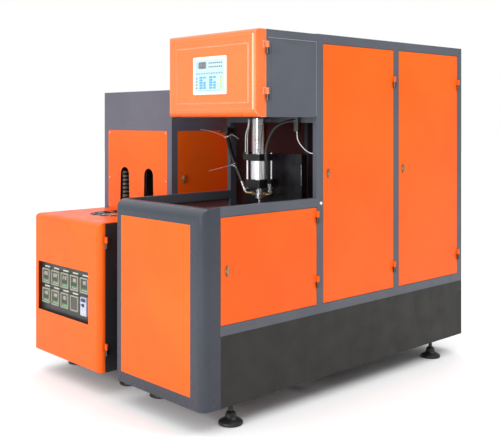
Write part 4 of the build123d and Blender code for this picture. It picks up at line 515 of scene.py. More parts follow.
ORANGE_TONES = (paint(240, 98, 18), paint(235, 91, 13), paint(250, 140, 70))
RECIPES = {
    Finish.ORANGE: PowderCoat(*ORANGE_TONES, roughness=0.36, gloss=0.22),
    # head cover: the orange made lighter and paler as a painted sheen of reflected light, with near-white
    # painted highlights along its edges
    Finish.ORANGE_SHEEN: PowderCoat(
        paint(244, 116, 56), paint(241, 109, 49), paint(255, 214, 188), roughness=0.28, rim=0.006, painted_highlight=0.9
    ),
    # fixed panels: orange, with their inner faces darkened as painted shade
    Finish.ORANGE_SHADED_INSIDE: PowderCoat(
        *ORANGE_TONES, roughness=0.36, inside=paint(142, 92, 94), gloss=0.22
    ),
    Finish.FRAME_GREY: PowderCoat(paint(79, 83, 92), paint(73, 77, 86), paint(120, 124, 132)),
    # surround: its pale edge tone spreads evenly as a painted highlight line along the rounded edges
    Finish.SURROUND_GREY: PowderCoat(
        paint(51, 56, 66),
        paint(47, 52, 62),
        paint(150, 158, 172),
        roughness=0.26,
        peel=0.03,
        rim=0.003,
        painted_highlight=0.4,
        gloss=0.4,
    ),
    # seam lines on the head's side: light grey as a painted highlight
    Finish.SEAM_HIGHLIGHT: PowderCoat(
        paint(150, 155, 164), paint(132, 137, 146), paint(180, 184, 190), 0.35
    ),
    # ridge lines of the head cover: lighter orange as a painted highlight
    Finish.RIDGE_LINE_HIGHLIGHT: PowderCoat(paint(246, 140, 84), paint(242, 132, 76), paint(250, 180, 140), 0.34),
    # broad right line of the head cover: near-white painted highlight
    Finish.RIDGE_HIGHLIGHT: PowderCoat(
        paint(255, 196, 160), paint(252, 188, 150), paint(255, 220, 196), 0.3
    ),
    Finish.BASE_GREY: PowderCoat(
        paint(34, 35, 32), paint(30, 31, 28), paint(66, 68, 68), 0.55, 0.18, gloss=0.4
    ),
    Finish.HOOD_GREY: PowderCoat(paint(90, 89, 101), paint(84, 83, 95), paint(124, 124, 134), 0.45),
    Finish.CABINET_BLACK: PowderCoat(paint(38, 38, 42), paint(33, 33, 37), paint(70, 70, 75), 0.5),
    Finish.DARK_STEEL: BareMetal(
        paint(58, 58, 62), paint(28, 24, 22), 0.38, (60.0, 60.0, 700.0), 0.15, 0.8, 0.85
    ),
    Finish.BLACK_OXIDE: BareMetal(
        paint(22, 22, 23), paint(12, 11, 10), 0.38, (300.0, 300.0, 300.0), 0.1, 0.6, 0.3
    ),
    Finish.ZINC: BareMetal(
        paint(200, 202, 206), paint(130, 124, 112), 0.26, (200.0, 200.0, 200.0), 0.06, 0.4
    ),
    Finish.DARK_ZINC: BareMetal(
        paint(92, 92, 92), paint(50, 46, 42), 0.34, (220.0, 220.0, 220.0), 0.08, 0.6
    ),
    Finish.CHROME: BareMetal(
        paint(184, 180, 182), paint(128, 124, 126), 0.1, (20.0, 20.0, 500.0), 0.03, 0.3
    ),
    Finish.ALUMINIUM: BareMetal(
        paint(231, 231, 234), paint(188, 188, 192), 0.3, (8.0, 8.0, 1400.0), 0.1, 0.3
    ),
    Finish.BRASS: BareMetal(
        paint(226, 204, 150), paint(150, 118, 70), 0.26, (160.0, 160.0, 160.0), 0.06, 0.4
    ),
    Finish.LOCK_METAL: BareMetal(
        paint(160, 140, 112), paint(60, 50, 40), 0.3, (160.0, 160.0, 160.0), 0.08, 0.6
    ),
    Finish.NOZZLE_METAL: BareMetal(
        paint(238, 238, 241), paint(170, 170, 174), 0.22, (30.0, 30.0, 700.0), 0.06, 0.3
    ),
    Finish.TIE_WHITE: Moulded(paint(236, 236, 234), paint(222, 222, 220), 0.35, 0.05),
    Finish.HOSE: WrappedRubber(paint(18, 17, 18), paint(56, 52, 49), 0.2),
    Finish.FOOT_RUBBER: WrappedRubber(paint(24, 24, 24), paint(70, 68, 64), 0.5),
    Finish.MILKY_TUBE: Moulded(paint(222, 224, 226), paint(205, 208, 212), 0.3, 0.04, 0.3),
    Finish.BEZEL_WHITE: Moulded(paint(238, 236, 224), paint(232, 229, 216), 0.35, 0.08),
    Finish.FILM: Moulded(paint(186, 214, 222), paint(178, 208, 218), 0.32, 0.05, 0.2),
    Finish.SCREEN_GREY: Moulded(paint(140, 140, 148), paint(112, 113, 122), 0.2, 0.02, 0.5),
    Finish.KEY_BLUE: Moulded(paint(84, 166, 218), paint(72, 156, 210), 0.35, 0.05),
    Finish.KEY_PALE: Moulded(paint(120, 172, 196), paint(112, 164, 190), 0.35, 0.05),
    Finish.KEY_LIME: Moulded(paint(188, 206, 96), paint(178, 198, 84), 0.35, 0.05),
    Finish.MARK_GREY: Moulded(paint(98, 120, 134), paint(90, 111, 125), 0.4, 0.05),
    Finish.PLATE_DARK: PowderCoat(paint(52, 54, 54), paint(44, 46, 46), paint(84, 86, 86), 0.4, 0.08),
    Finish.MODULE_RIM: Moulded(paint(150, 150, 132), paint(138, 138, 120), 0.45, 0.12),
    Finish.MODULE_FACE: Moulded(paint(66, 70, 62), paint(58, 62, 54), 0.4, 0.1),
    Finish.MODULE_SCREEN: Moulded(paint(14, 15, 14), paint(20, 22, 20), 0.15, 0.02, 0.6),
    Finish.DIGIT: Moulded(paint(236, 226, 206), paint(226, 214, 190), 0.4, 0.02),
    Finish.GREEN_LINE: Moulded(paint(52, 172, 96), paint(44, 158, 86), 0.4, 0.05),
    Finish.LABEL_BLANK: Moulded(paint(206, 206, 196), paint(190, 190, 178), 0.5, 0.08),
    Finish.BREAKER: Moulded(paint(186, 192, 206), paint(176, 182, 197), 0.35, 0.1),
    Finish.DARK_BLUE: Moulded(paint(28, 38, 92), paint(22, 30, 76), 0.3, 0.06),
    Finish.CARRIER: Moulded(paint(22, 21, 22), paint(30, 28, 28), 0.38, 0.12),
    Finish.CERAMIC: Moulded(paint(150, 147, 142), paint(118, 114, 108), 0.5, 0.15),
    Finish.QUARTZ: QuartzTube(paint(130, 126, 120), paint(70, 60, 50)),
    Finish.REFLECTOR: BareMetal(
        paint(176, 176, 178), paint(110, 106, 100), 0.22, (4.0, 700.0, 4.0), 0.08, 0.5
    ),
    Finish.RECEIVER: PowderCoat(paint(104, 108, 114), paint(96, 100, 106), paint(140, 142, 146), 0.42),
    Finish.FLOOR: ShopFloor(paint(250, 250, 250), paint(247, 247, 248)),
}


class PaintShop:
    """Builds each finish once and hands it out."""

    def __init__(self) -> None:
        """Starts with no finish made."""
        self._made: dict[Finish, bpy.types.Material] = {}

    def get(self, finish: Finish) -> bpy.types.Material:
        """Material of a finish, made at its first use."""
        if finish not in self._made:
            self._made[finish] = RECIPES[finish].build(finish.value)
        return self._made[finish]


class MeshBench:
    """One mesh in the making, with the shapes that a machine is made of.

    Each shape takes the number of the finish that it shows, from the piece's own list.
    """

    def __init__(self) -> None:
        """Starts an empty mesh."""
        self.mesh = bmesh.new()

    def _strip(self, low: list, high: list, slot: int) -> None:
        """Adds the faces between two rings of as many points, or between a ring and a tip.

        Args:
            low, high: Vertices of the two rings.
            slot: Number of the finish.
        """
        count = max(len(low), len(high))
        for i in range(count):
            j = (i + 1) % count
            ring = [low[i % len(low)], low[j % len(low)], high[j % len(high)], high[i % len(high)]]
            corners = list(dict.fromkeys(ring))
            if len(corners) > 2:
                self.mesh.faces.new(corners).material_index = slot

    def _circle(self, middle: Vector, across: Vector, other: Vector, radius: float, sides: int) -> list:
        """Adds the vertices of one circle.

        Args:
            middle: Middle of the circle.
            across, other: Two directions in its plane, square to each other.
            radius: Its radius.
            sides: Number of its vertices.

        Returns:
            The vertices, in their order round it.
        """
        angles = [2 * math.pi * i / sides for i in range(sides)]
        places = [middle + (across * math.cos(a) + other * math.sin(a)) * radius for a in angles]
        return [self.mesh.verts.new(place) for place in places]

    def turned(
        self, profile: Iterable[Point], centre: Point, axis: Point = UP, sides: int = 40, slot: int = 0
    ) -> None:
        """Shape turned about an axis.

        Args:
            profile: Pairs of radius and height along the axis, from one end to the other.
            centre: Point on the axis that the heights start from.
            axis: Direction of the axis.
            sides: Number of sides, 6 for a hexagon.
            slot: Number of the finish.
        """
        along = Vector(axis).normalized()
        across = along.orthogonal().normalized()
        other = along.cross(across)
        previous: Optional[list] = None
        for radius, height in profile:
            middle = Vector(centre) + along * height
            if radius < TIP:
                ring = [self.mesh.verts.new(middle)]
            else:
                ring = self._circle(middle, across, other, radius, sides)
            if previous is not None:
                self._strip(previous, ring, slot)
            elif len(ring) > 1:
                self.mesh.faces.new(list(reversed(ring))).material_index = slot
            previous = ring
        if previous is not None and len(previous) > 1:
            self.mesh.faces.new(previous).material_index = slot

    def ring(self, profile: Sequence[Point], centre: Vector, sides: int = 56, slot: int = 0) -> None:
        """Closed ring turned about the upright through a point, open in its middle.

        Args:
            profile: Pairs of radius and height, all round its section.
            centre: Point that the heights start from.
            sides: Number of sides.
            slot: Number of the finish.
        """
        rows = []
        for radius, height in profile:
            middle = centre + Vector(UP) * height
            rows.append(self._circle(middle, Vector(RIGHT), Vector(BACK), radius, sides))
        for low, high in zip(rows, rows[1:] + rows[:1]):
            self._strip(low, high, slot)

    def plate(
        self,
        foot: Point,
        across: Point,
        up: Point,
        size: Point,
        depth: float,
        corner: float = 0.0,
        ease: float = 0.0,
        slot: int = 0,
    ) -> None:
        """Plate with rounded corners that stands out from a surface.

        Args:
            foot: Middle of its back face.
            across: Direction of its width.
            up: Direction of its height. It stands out along the cross product of the two.
            size: Width and height.
            depth: How far it stands out.
            corner: Radius of its four corners.
            ease: Width of the chamfer round its front.
            slot: Number of the finish.
        """
        u, v = Vector(across).normalized(), Vector(up).normalized()
        out = u.cross(v)
        steps = CORNER_STEPS if corner > 0 else 0

        def ring(height: float, inset: float) -> list:
            """Adds the outline at one height.

            Args:
                height: Height over the back face.
                inset: How far it lies inside the outer one.

            Returns:
                Its vertices.
            """
            points = []
            half_u, half_v = size[0] / 2 - inset, size[1] / 2 - inset
            radius = max(corner - inset, 0.0)
            for quarter, (su, sv) in enumerate(((1, 1), (-1, 1), (-1, -1), (1, -1))):
                for step in range(steps + 1):
                    angle = math.pi / 2 * (quarter + (step / steps if steps else 0.5))
                    du = su * (half_u - radius) + radius * math.cos(angle)
                    dv = sv * (half_v - radius) + radius * math.sin(angle)
                    points.append(self.mesh.verts.new(Vector(foot) + u * du + v * dv + out * height))
            return points

        rings = [ring(0.0, 0.0), ring(depth - ease, 0.0)]
        if ease > 0:
            rings.append(ring(depth, ease))
        for low, high in zip(rings, rings[1:]):
            self._strip(low, high, slot)
        self.mesh.faces.new(list(reversed(rings[0]))).material_index = slot
        self.mesh.faces.new(rings[-1]).material_index = slot

    def swept(self, line: Sequence[Point], radius: float, sides: int = 20, slot: int = 0) -> None:
        """Round bar along a line of points.

        Args:
            line: Points on its centre line, from end to end.
            radius: Radius of the bar.
            sides: Number of sides.
            slot: Number of the finish.
        """
        points = [Vector(p) for p in line]
        side = (points[1] - points[0]).orthogonal().normalized()
        rings = []
        for i, point in enumerate(points):
            before, after = points[max(i - 1, 0)], points[min(i + 1, len(points) - 1)]
            along = (after - before).normalized()
            side = (side - along * side.dot(along)).normalized()
            rings.append(self._circle(point, side, along.cross(side), radius, sides))
        for low, high in zip(rings, rings[1:]):
            self._strip(low, high, slot)
        self.mesh.faces.new(list(reversed(rings[0]))).material_index = slot
        self.mesh.faces.new(rings[-1]).material_index = slot

    def digits(self, text: str, centre: Point, across: Point, up: Point, height: float, slot: int) -> None:
        """Row of seven-segment figures, such as a display shows.

        Args:
            text: Figures 0, 1, 2, 5 or 8.
            centre: Middle of the row, on the surface.
            across: Reading direction.
            up: Direction of the figures' tops.
            height: Height of a figure.
            slot: Number of the finish.
        """
        lit = {"0": "abcdef", "1": "bc", "2": "abged", "5": "afgcd", "8": "abcdefg"}
        bars = {
            "a": (0.0, 0.5, 0),
            "g": (0.0, 0.0, 0),
            "d": (0.0, -0.5, 0),
            "f": (-0.28, 0.25, 1),
            "b": (0.28, 0.25, 1),
            "e": (-0.28, -0.25, 1),
            "c": (0.28, -0.25, 1),
        }
        u, v = Vector(across).normalized(), Vector(up).normalized()
        thick, pitch, relief = height * 0.11, height * 0.85, 0.0004
        for place, figure in enumerate(text):
            middle = Vector(centre) + u * (place - (len(text) - 1) / 2) * pitch
            for bar in lit[figure]:
                du, dv, upright = bars[bar]
                size = (thick, height * 0.42) if upright else (height * 0.46, thick)
                self.plate(middle + u * du * height + v * dv * height, u, v, size, relief, slot=slot)

    def finish(self, name: str, smooth: float = 32.0) -> bpy.types.Object:
        """Turns the mesh into an object.

        Args:
            name: Name of the object.
            smooth: Edges sharper than this angle, in degrees, stay sharp.

        Returns:
            The new object, in the scene.
        """
        bmesh.ops.recalc_face_normals(self.mesh, faces=self.mesh.faces)
        data = bpy.data.meshes.new(name)
        self.mesh.to_mesh(data)
        self.mesh.free()
        data.shade_smooth()
        data.set_sharp_from_angle(angle=math.radians(smooth))
        made = bpy.data.objects.new(name, data)
        bpy.context.scene.collection.objects.link(made)
        return made


def islands(node: str) -> list[tuple[Vector, Vector]]:
    """Boxes of the separate solids in a CAD node.

    Args:
        node: Name of the node.

    Returns:
        One pair of lowest and highest corner for each solid.
    """
    mesh = bmesh.new()
    mesh.from_mesh(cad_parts[node].data)
    bmesh.ops.remove_doubles(mesh, verts=mesh.verts, dist=WELD)
    left, boxes = set(mesh.verts), []
    while left:
        queue = [left.pop()]
        low, high = queue[0].co.copy(), queue[0].co.copy()
        while queue:
            vert = queue.pop()
            low = Vector(map(min, low, vert.co))
            high = Vector(map(max, high, vert.co))
            for edge in vert.link_edges:
                other = edge.other_vert(vert)
                if other in left:
                    left.remove(other)
                    queue.append(other)
        boxes.append((low, high))
    mesh.free()
    return sorted(boxes, key=lambda b: tuple(round(c, 4) for c in b[0]))


@dataclass
class SubAssembly:
    """Part of the set that dresses its CAD nodes and adds its pieces.

    Attributes:
        shop: Source of the finishes.
    """

    shop: PaintShop

    def dress(self, node: str, finish: Finish) -> None:
        """Gives a carried-over CAD node its finish."""
        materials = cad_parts[node].data.materials
        materials.clear()
        materials.append(self.shop.get(finish))

    def add(
        self,
        bench: MeshBench,
        name: str,
        body: str,
        slot: str,
        finishes: Sequence[Finish],
        stands_for: Sequence[str] = (),
        smooth: float = 32.0,
    ) -> bpy.types.Object:
        """Finishes a piece and lets it ride on a body.

        Args:
            bench: Mesh of the piece.
            name: Name of the piece.
            body: CAD body that it moves with.
            slot: The record's material slot; not used.
            finishes: Finishes, by the numbers that the mesh uses.
            stands_for: CAD nodes that it replaces.
            smooth: Edges sharper than this angle, in degrees, stay sharp.

        Returns:
            The new piece.
        """
        piece = bench.finish(name, smooth)
        for finish in finishes:
            piece.data.materials.append(self.shop.get(finish))
        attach(piece, body)
        if stands_for:
            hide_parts(*stands_for)
        LOG.info("%s: %d faces on %s", name, len(piece.data.polygons), body)
        return piece


LEFT_HOSE = (
    (0.2806, -0.3800, 1.1559),
    (0.2571, -0.3800, 1.2000),
    (0.2345, -0.3900, 1.2460),
    (0.1925, -0.3840, 1.3180),
    (0.1450, -0.3640, 1.3830),
    (0.1225, -0.3520, 1.4260),
)
RIGHT_HOSE = (
    (0.5247, -0.4007, 1.1598),
    (0.5319, -0.4133, 1.1992),
    (0.5425, -0.4320, 1.2440),
    (0.5375, -0.4410, 1.3100),
    (0.5365, -0.4290, 1.3800),
    (0.5495, -0.4040, 1.4460),
    (0.5770, -0.3840, 1.4810),
    (0.6127, -0.3530, 1.5016),
    (0.6375, -0.3300, 1.5050),
)
TUBE_FRONT = (
    (0.3545, -0.4210, 1.3270),
    (0.3545, -0.4210, 1.3770),
    (0.3605, -0.4250, 1.4350),
    (0.4000, -0.4390, 1.4720),
    (0.4000, -0.4390, 1.5120),
)
TUBE_REAR = (
    (0.3545, -0.4070, 1.3270),
    (0.3545, -0.4070, 1.3770),
    (0.3605, -0.4110, 1.4350),
    (0.3920, -0.4280, 1.4720),
    (0.3920, -0.4280, 1.5120),
)
DRAIN = (
    (0.6525, -0.3130, 1.4460),
    (0.6525, -0.3130, 1.4160),
    (0.6615, -0.3080, 1.3860),
    (0.6815, -0.2960, 1.3560),
    (0.7040, -0.2810, 1.3340),
    (0.7255, -0.2730, 1.3260),
    (0.7455, -0.2730, 1.3260),
)


@dataclass
class Hoses(SubAssembly):
    """Pressure hoses to the nozzle, and the thin tubes beside them.

    Attributes:
        thick: Diameter of the left hose.
        slim: Diameter of the right hose.
        thin: Diameter of the tubes.
        order: Order of the curves.
        steps: Steps of a curve between two of its points.
        roundness: Fineness of a curve's round section.
    """

    thick: float = 0.024
    slim: float = 0.018
    thin: float = 0.006
    order: int = 3
    steps: int = 12
    roundness: int = 5

    def route(
        self, name: str, points: Sequence[Point], diameter: float, finish: Finish, slot: str
    ) -> bpy.types.Object:
        """Lays one hose along its points, in the place of its CAD node.

        Args:
            name: Name of the CAD node, and of the piece with _run after it.
            points: Control points from end to end.
            diameter: Outside diameter.
            finish: Finish of the hose.
            slot: The record's material slot; not used.

        Returns:
            The hose.
        """
        curve = bpy.data.curves.new(name + "_run", "CURVE")
        curve.dimensions = "3D"
        spline = curve.splines.new("NURBS")
        spline.points.add(len(points) - 1)
        for place, point in zip(spline.points, points):
            place.co = (*point, 1.0)
        spline.order_u = self.order
        spline.use_endpoint_u = True
        spline.resolution_u = self.steps
        curve.bevel_depth = diameter / 2
        curve.bevel_resolution = self.roundness
        curve.use_fill_caps = True
        hose = bpy.data.objects.new(name + "_run", curve)
        bpy.context.scene.collection.objects.link(hose)
        curve.materials.append(self.shop.get(finish))
        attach(hose, "base")
        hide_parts(name)
        return hose

    def length_of(self, hose: bpy.types.Object) -> float:
        """Measures a hose.

        Args:
            hose: The hose, as a curve.

        Returns:
            Length of its centre line, in metres.
        """
        line = hose.copy()
        line.data = hose.data.copy()
        line.data.bevel_depth = 0.0
        mesh = bpy.data.meshes.new_from_object(line)
        points = [v.co for v in mesh.vertices]
        bpy.data.meshes.remove(mesh)
        bpy.data.curves.remove(line.data)
        return sum((b - a).length for a, b in zip(points, points[1:]))

    def build(self) -> None:
        runs = (
            ("left_hose", LEFT_HOSE, self.thick, Finish.HOSE, "hose", "stiff"),
            ("right_hose", RIGHT_HOSE, self.slim, Finish.HOSE, "hose", "stiff"),
            ("control_tube_front", TUBE_FRONT, self.thin, Finish.MILKY_TUBE, "white_tube", "medium"),
            ("control_tube_rear", TUBE_REAR, self.thin, Finish.MILKY_TUBE, "white_tube", "medium"),
            ("drain_tube", DRAIN, self.thin, Finish.MILKY_TUBE, "white_tube", "medium"),
        )
        for name, points, diameter, finish, slot, stiffness in runs:
            hose = self.route(name, points, diameter, finish, slot)
            length = self.length_of(hose)
            LOG.info("%s: %.3f m long", name, length)


@dataclass(frozen=True)
class Tie:
    """One nylon tie.

    Attributes:
        place: Point on the hose's centre line.
        along: Direction of the hose there.
        tails: Lines of points that its loose ends follow.
    """

    place: Point
    along: Point
    tails: Sequence[Sequence[Point]]


UPPER_TIE = Tie(
    (0.1334, -0.3580, 1.4050),
    (-0.33, 0.17, 0.93),
    (
        ((0.128, -0.371, 1.408), (0.112, -0.420, 1.430), (0.104, -0.480, 1.447), (0.100, -0.541, 1.4548)),
        ((0.143, -0.368, 1.412), (0.185, -0.376, 1.424), (0.225, -0.383, 1.415), (0.258, -0.385, 1.3995)),
    ),
)
LOWER_TIE = Tie(
    (0.2298, -0.3893, 1.2545),
    (-0.50, 0.07, 0.86),
    (
        ((0.222, -0.401, 1.249), (0.208, -0.450, 1.240), (0.193, -0.500, 1.228), (0.182, -0.545, 1.219)),
        ((0.238, -0.400, 1.245), (0.248, -0.402, 1.240), (0.259, -0.402, 1.238)),
    ),
)


@dataclass
class HoseTies(SubAssembly):
    """White nylon ties round the left hose, with their long tails.

    Attributes:
        hose: Radius of the hose that they hold.
        strap: Half the thickness of a strap.
        proud: How far a strap's middle lies off the hose, in its own half thicknesses.
        sides: Number of sides of a strap.
        turn: Number of steps round the hose.
        latch: Width and height of a tie's latch.
        latch_depth: How far the latch stands out.
    """

    hose: float = 0.012
    strap: float = 0.0009
    proud: float = 0.6
    sides: int = 8
    turn: int = 24
    latch: Point = (0.008, 0.007)
    latch_depth: float = 0.005

    def wrap(self, bench: MeshBench, tie: Tie) -> None:
        """Builds one tie.

        Args:
            bench: Mesh to add it to.
            tie: Its place and its tails.
        """
        middle, along = Vector(tie.place), Vector(tie.along).normalized()
        side = along.orthogonal().normalized()
        other = along.cross(side).normalized()
        reach = self.hose + self.strap * self.proud
        turns = [2 * math.pi * i / self.turn for i in range(self.turn + 1)]
        loop = [middle + (side * math.cos(a) + other * math.sin(a)) * reach for a in turns]
        bench.swept(loop, self.strap, self.sides)
        for tail in tie.tails:
            bench.swept(tail, self.strap, self.sides)
            bench.plate(tail[0], RIGHT, UP, self.latch, self.latch_depth, 0.001, 0.0005)

    def build(self) -> None:
        """Builds both ties."""
        bench = MeshBench()
        for tie in (UPPER_TIE, LOWER_TIE):
            self.wrap(bench, tie)
        self.add(bench, "hose_ties", "base", "white_tube", [Finish.TIE_WHITE])


def cross_screw(
    bench: MeshBench, place: Vector, out: Vector, radius: float = 0.006, slot: int = 0, dark: int = 1
) -> None:
    """Domed screw head with a cross recess.

    Args:
        bench: Mesh to add it to.
        place: Point on the skin under the head.
        out: Direction that the head faces.
        radius: Radius of the head.
        slot: Number of the head's finish.
        dark: Number of the finish in the recess.
    """
    dome = [(radius, 0.0), (radius, 0.0007), (radius * 0.86, 0.0014), (radius * 0.5, 0.0018), (0.0, 0.0019)]
    bench.turned(dome, place, out, 24, slot)
    u = out.orthogonal().normalized()
    v = out.cross(u)
    for across, up in ((u, v), (v, -u)):
        bench.plate(place + out * 0.0012, across, up, (radius * 1.05, radius * 0.2), 0.00078, slot=dark)


def socket_screw(
    bench: MeshBench, place: Vector, out: Vector, radius: float, slot: int = 0, dark: int = 1
) -> None:
    """Cylinder head screw with a hexagon socket, as high as its radius.

    Args:
        bench: Mesh to add it to.
        place: Point on the face under the head.
        out: Direction that the head faces.
        radius: Radius of the head.
        slot: Number of the head's finish.
        dark: Number of the finish in the socket.
    """
    head = [(radius, 0.0), (radius, radius * 0.85), (radius * 0.86, radius), (radius * 0.6, radius)]
    bench.turned(head + [(radius * 0.55, radius * 0.55), (0.0, radius * 0.5)], place, out, 28, slot)
    bench.turned([(radius * 0.52, radius * 0.5), (0.0, radius * 0.52)], place, out, HEXAGON, dark)


def nut_profile(radius: float, length: float, chamfer: float) -> list[Point]:
    """Profile of a chamfered nut, to be turned with six sides."""
    return [(radius - chamfer, 0.0), (radius, 0.001), (radius, length - 0.001), (radius - chamfer, length)]


@dataclass
class BlowingBody(SubAssembly):
    """Frame, base, surround and fixed panels of the blowing unit.

    Attributes:
        seam: Width of a seam line on the head's side, painted light as a highlight.
        seam_depth: How far it stands out.
        level_seam: Middle of the level seam as Y and Z, and its length.
        upright_seam: Middle of the upright seam as Y and Z, and its length.
        button: Middle of the stop button as Y and Z.
        button_dome: Radius and height of the button from its foot to its tip.
    """

    seam: float = 0.003
    seam_depth: float = 0.0006
    level_seam: Point = (-0.487, 1.9278, 0.362)
    upright_seam: Point = (-0.3075, 1.731, 0.392)
    button: Point = (-0.271, 1.061)
    button_dome: Sequence[Point] = (
        (0.0080, 0.0),
        (0.0084, 0.0024),
        (0.0076, 0.0056),
        (0.0048, 0.0072),
        (0.0, 0.0076),
    )

    def screws(self) -> None:
        """Replaces the plain screw heads by domed ones, which are painted over on the blowing unit."""
        bench = MeshBench()
        zinc, black, orange = range(3)
        for low, high in islands("panel_screws"):
            size = high - low
            thin = min(range(3), key=lambda i: size[i])
            out = Vector((0.0, 0.0, 0.0))
            middle = (low + high) / 2
            forward = middle.y < 0 or thin == 0
            out[thin] = -1.0 if forward else 1.0
            place = middle.copy()
            place[thin] = high[thin] if forward else low[thin]
            on_blowing_unit = middle.x > 0
            head, recess = (orange, orange) if on_blowing_unit else (zinc, black)
            cross_screw(bench, place, out, slot=head, dark=recess)
        tones = [Finish.ZINC, Finish.BLACK_OXIDE, Finish.ORANGE]
        self.add(bench, "panel_screw_heads", "base", "steel", tones, ["panel_screws"])

    def seams(self) -> None:
        """Adds the seam lines of the head's side sheet, painted light as highlights."""
        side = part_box("head_shell")[1].x
        bench = MeshBench()
        y, z, length = self.level_seam
        bench.plate((side, y, z), BACK, UP, (length, self.seam), self.seam_depth)
        y, z, length = self.upright_seam
        bench.plate((side, y, z), BACK, UP, (self.seam, length), self.seam_depth)
        self.add(bench, "head_side_seam_highlights", "base", "frame_grey", [Finish.SEAM_HIGHLIGHT])

    def stop_button(self) -> None:
        """Adds the white stop button on the post beside the low door."""
        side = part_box("head_shell")[1].x
        bench = MeshBench()
        bench.turned(self.button_dome, (side, *self.button), RIGHT, 36)
        self.add(bench, "door_stop_button", "base", "bezel", [Finish.TIE_WHITE])

    def build(self) -> None:
        """Dresses the nodes and adds the screws, the seam lines painted light as highlights, and the button.
        """
        for node in ("host_frame", "head_shell", "roof_sheet"):
            self.dress(node, Finish.FRAME_GREY)
        self.dress("front_surround", Finish.SURROUND_GREY)
        self.dress("plinth_skirt", Finish.BASE_GREY)
        self.dress("front_panel", Finish.ORANGE)
        # inner faces of the fixed panels carry painted shade
        self.dress("fixed_panels", Finish.ORANGE_SHADED_INSIDE)
        self.screws()
        self.seams()
        self.stop_button()


@dataclass
class SideDoors(SubAssembly):
    """Three side doors with their hinges, and the four quarter-turn locks.

    Attributes:
        proud: How far a lock stands out of the skin.
        fall: Distance from a wing's top end down to the lock's axis.
        barrel: Radius of the barrel behind the skin.
        cam: Width and length of the cam at its back.
        cam_depth: Thickness of the cam.
        flange: Radius of the flange on the skin.
        wing: Width and length of the wing.
        wing_depth: Height of the wing.
        hub: Radius and height of the wing's hub.
    """

    proud: float = 0.012
    fall: float = 0.026
    barrel: float = 0.008
    cam: Point = (0.016, 0.03)
    cam_depth: float = 0.004
    flange: float = 0.0125
    wing: Point = (0.011, 0.05)
    wing_depth: float = 0.0095
    hub: float = 0.0085

    def lock(self, node: str, body: str) -> None:
        """Builds a wing lock in the place of its CAD node.

        Args:
            node: CAD node of the lock.
            body: Body that it turns with.
        """
        low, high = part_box(node)
        centre = Vector((high.x - self.proud, (low.y + high.y) / 2, high.z - self.fall))
        out = Vector(RIGHT)
        steel = 1
        bench = MeshBench()
        barrel = [(self.barrel, 0.0), (self.barrel, centre.x - low.x)]
        bench.turned(barrel, (low.x, centre.y, centre.z), out, 28, steel)
        cam = (low.x, centre.y, centre.z - self.cam[1] / 2)
        bench.plate(cam, BACK, UP, self.cam, self.cam_depth, 0.002, 0.0005, steel)
        flange = [(self.flange, 0.0), (self.flange, 0.0022), (self.flange - 0.0013, 0.003)]
        bench.turned(flange, centre, out, 36)
        bench.plate(centre + out * 0.002, BACK, UP, self.wing, self.wing_depth, 0.005, 0.003)
        hub = [(self.hub, 0.0), (self.hub, self.hub), (self.hub - 0.0015, self.hub + 0.001)]
        bench.turned(hub, centre, out, 32)
        self.add(bench, node + "_wing", body, "steel", [Finish.LOCK_METAL, Finish.ZINC], [node])

    def build(self) -> None:
        """Dresses the doors and builds the locks."""
        for node in ("low_side_door", "tall_door_front", "tall_door_rear"):
            self.dress(node, Finish.ORANGE)
        self.dress("frame_hinges", Finish.DARK_ZINC)
        self.lock("low_door_lock", "low_lock")
        self.lock("front_door_lock", "front_lock")
        self.lock("rear_door_lock", "rear_lock")
        self.lock("oven_lock", "side_panel_lock")


class KeyTone(Enum):
    """Finishes of the keypad's print, by their numbers in the piece."""

    SCREEN = 0
    BLUE = 1
    PALE = 2
    LIME = 3
    MARK = 4


@dataclass(frozen=True)
class KeyBlock:
    """Block of like keys, in shares of the film's width from the left and of its height from the top.

    Attributes:
        start: Middle of the first key.
        size: Width and height of a key.
        tone: Finish of the keys.
        count: Number of keys across and down.
        pitch: Distance to the next key across and down.
    """

    start: Point
    size: Point
    tone: KeyTone
    count: tuple[int, int] = (1, 1)
    pitch: Point = (0.0, 0.0)


KEY_BLOCKS = (
    KeyBlock((0.26, 0.17), (0.27, 0.22), KeyTone.SCREEN),
    KeyBlock((0.26, 0.105), (0.22, 0.012), KeyTone.MARK, (1, 4), (0.0, 0.043)),
    KeyBlock((0.075, 0.11), (0.035, 0.025), KeyTone.MARK, (1, 3), (0.0, 0.06)),
    KeyBlock((0.50, 0.11), (0.045, 0.045), KeyTone.MARK, (7, 2), (0.068, 0.12)),
    KeyBlock((0.075, 0.43), (0.055, 0.055), KeyTone.PALE, (11, 1), (0.085, 0.0)),
    KeyBlock((0.065, 0.58), (0.04, 0.05), KeyTone.MARK, (1, 4), (0.0, 0.1)),
    KeyBlock((0.21, 0.555), (0.11, 0.062), KeyTone.BLUE, (1, 5), (0.0, 0.082)),
    KeyBlock((0.335, 0.555), (0.085, 0.062), KeyTone.BLUE),
    KeyBlock((0.335, 0.719), (0.085, 0.062), KeyTone.BLUE, (1, 3), (0.0, 0.082)),
    KeyBlock((0.55, 0.555), (0.11, 0.062), KeyTone.BLUE, (1, 5), (0.0, 0.082)),
    KeyBlock((0.675, 0.555), (0.085, 0.062), KeyTone.BLUE),
    KeyBlock((0.675, 0.719), (0.085, 0.062), KeyTone.BLUE, (1, 3), (0.0, 0.082)),
    KeyBlock((0.89, 0.565), (0.065, 0.07), KeyTone.LIME, (1, 4), (0.0, 0.1)),
    KeyBlock((0.5, 0.965), (0.8, 0.01), KeyTone.PALE),
)


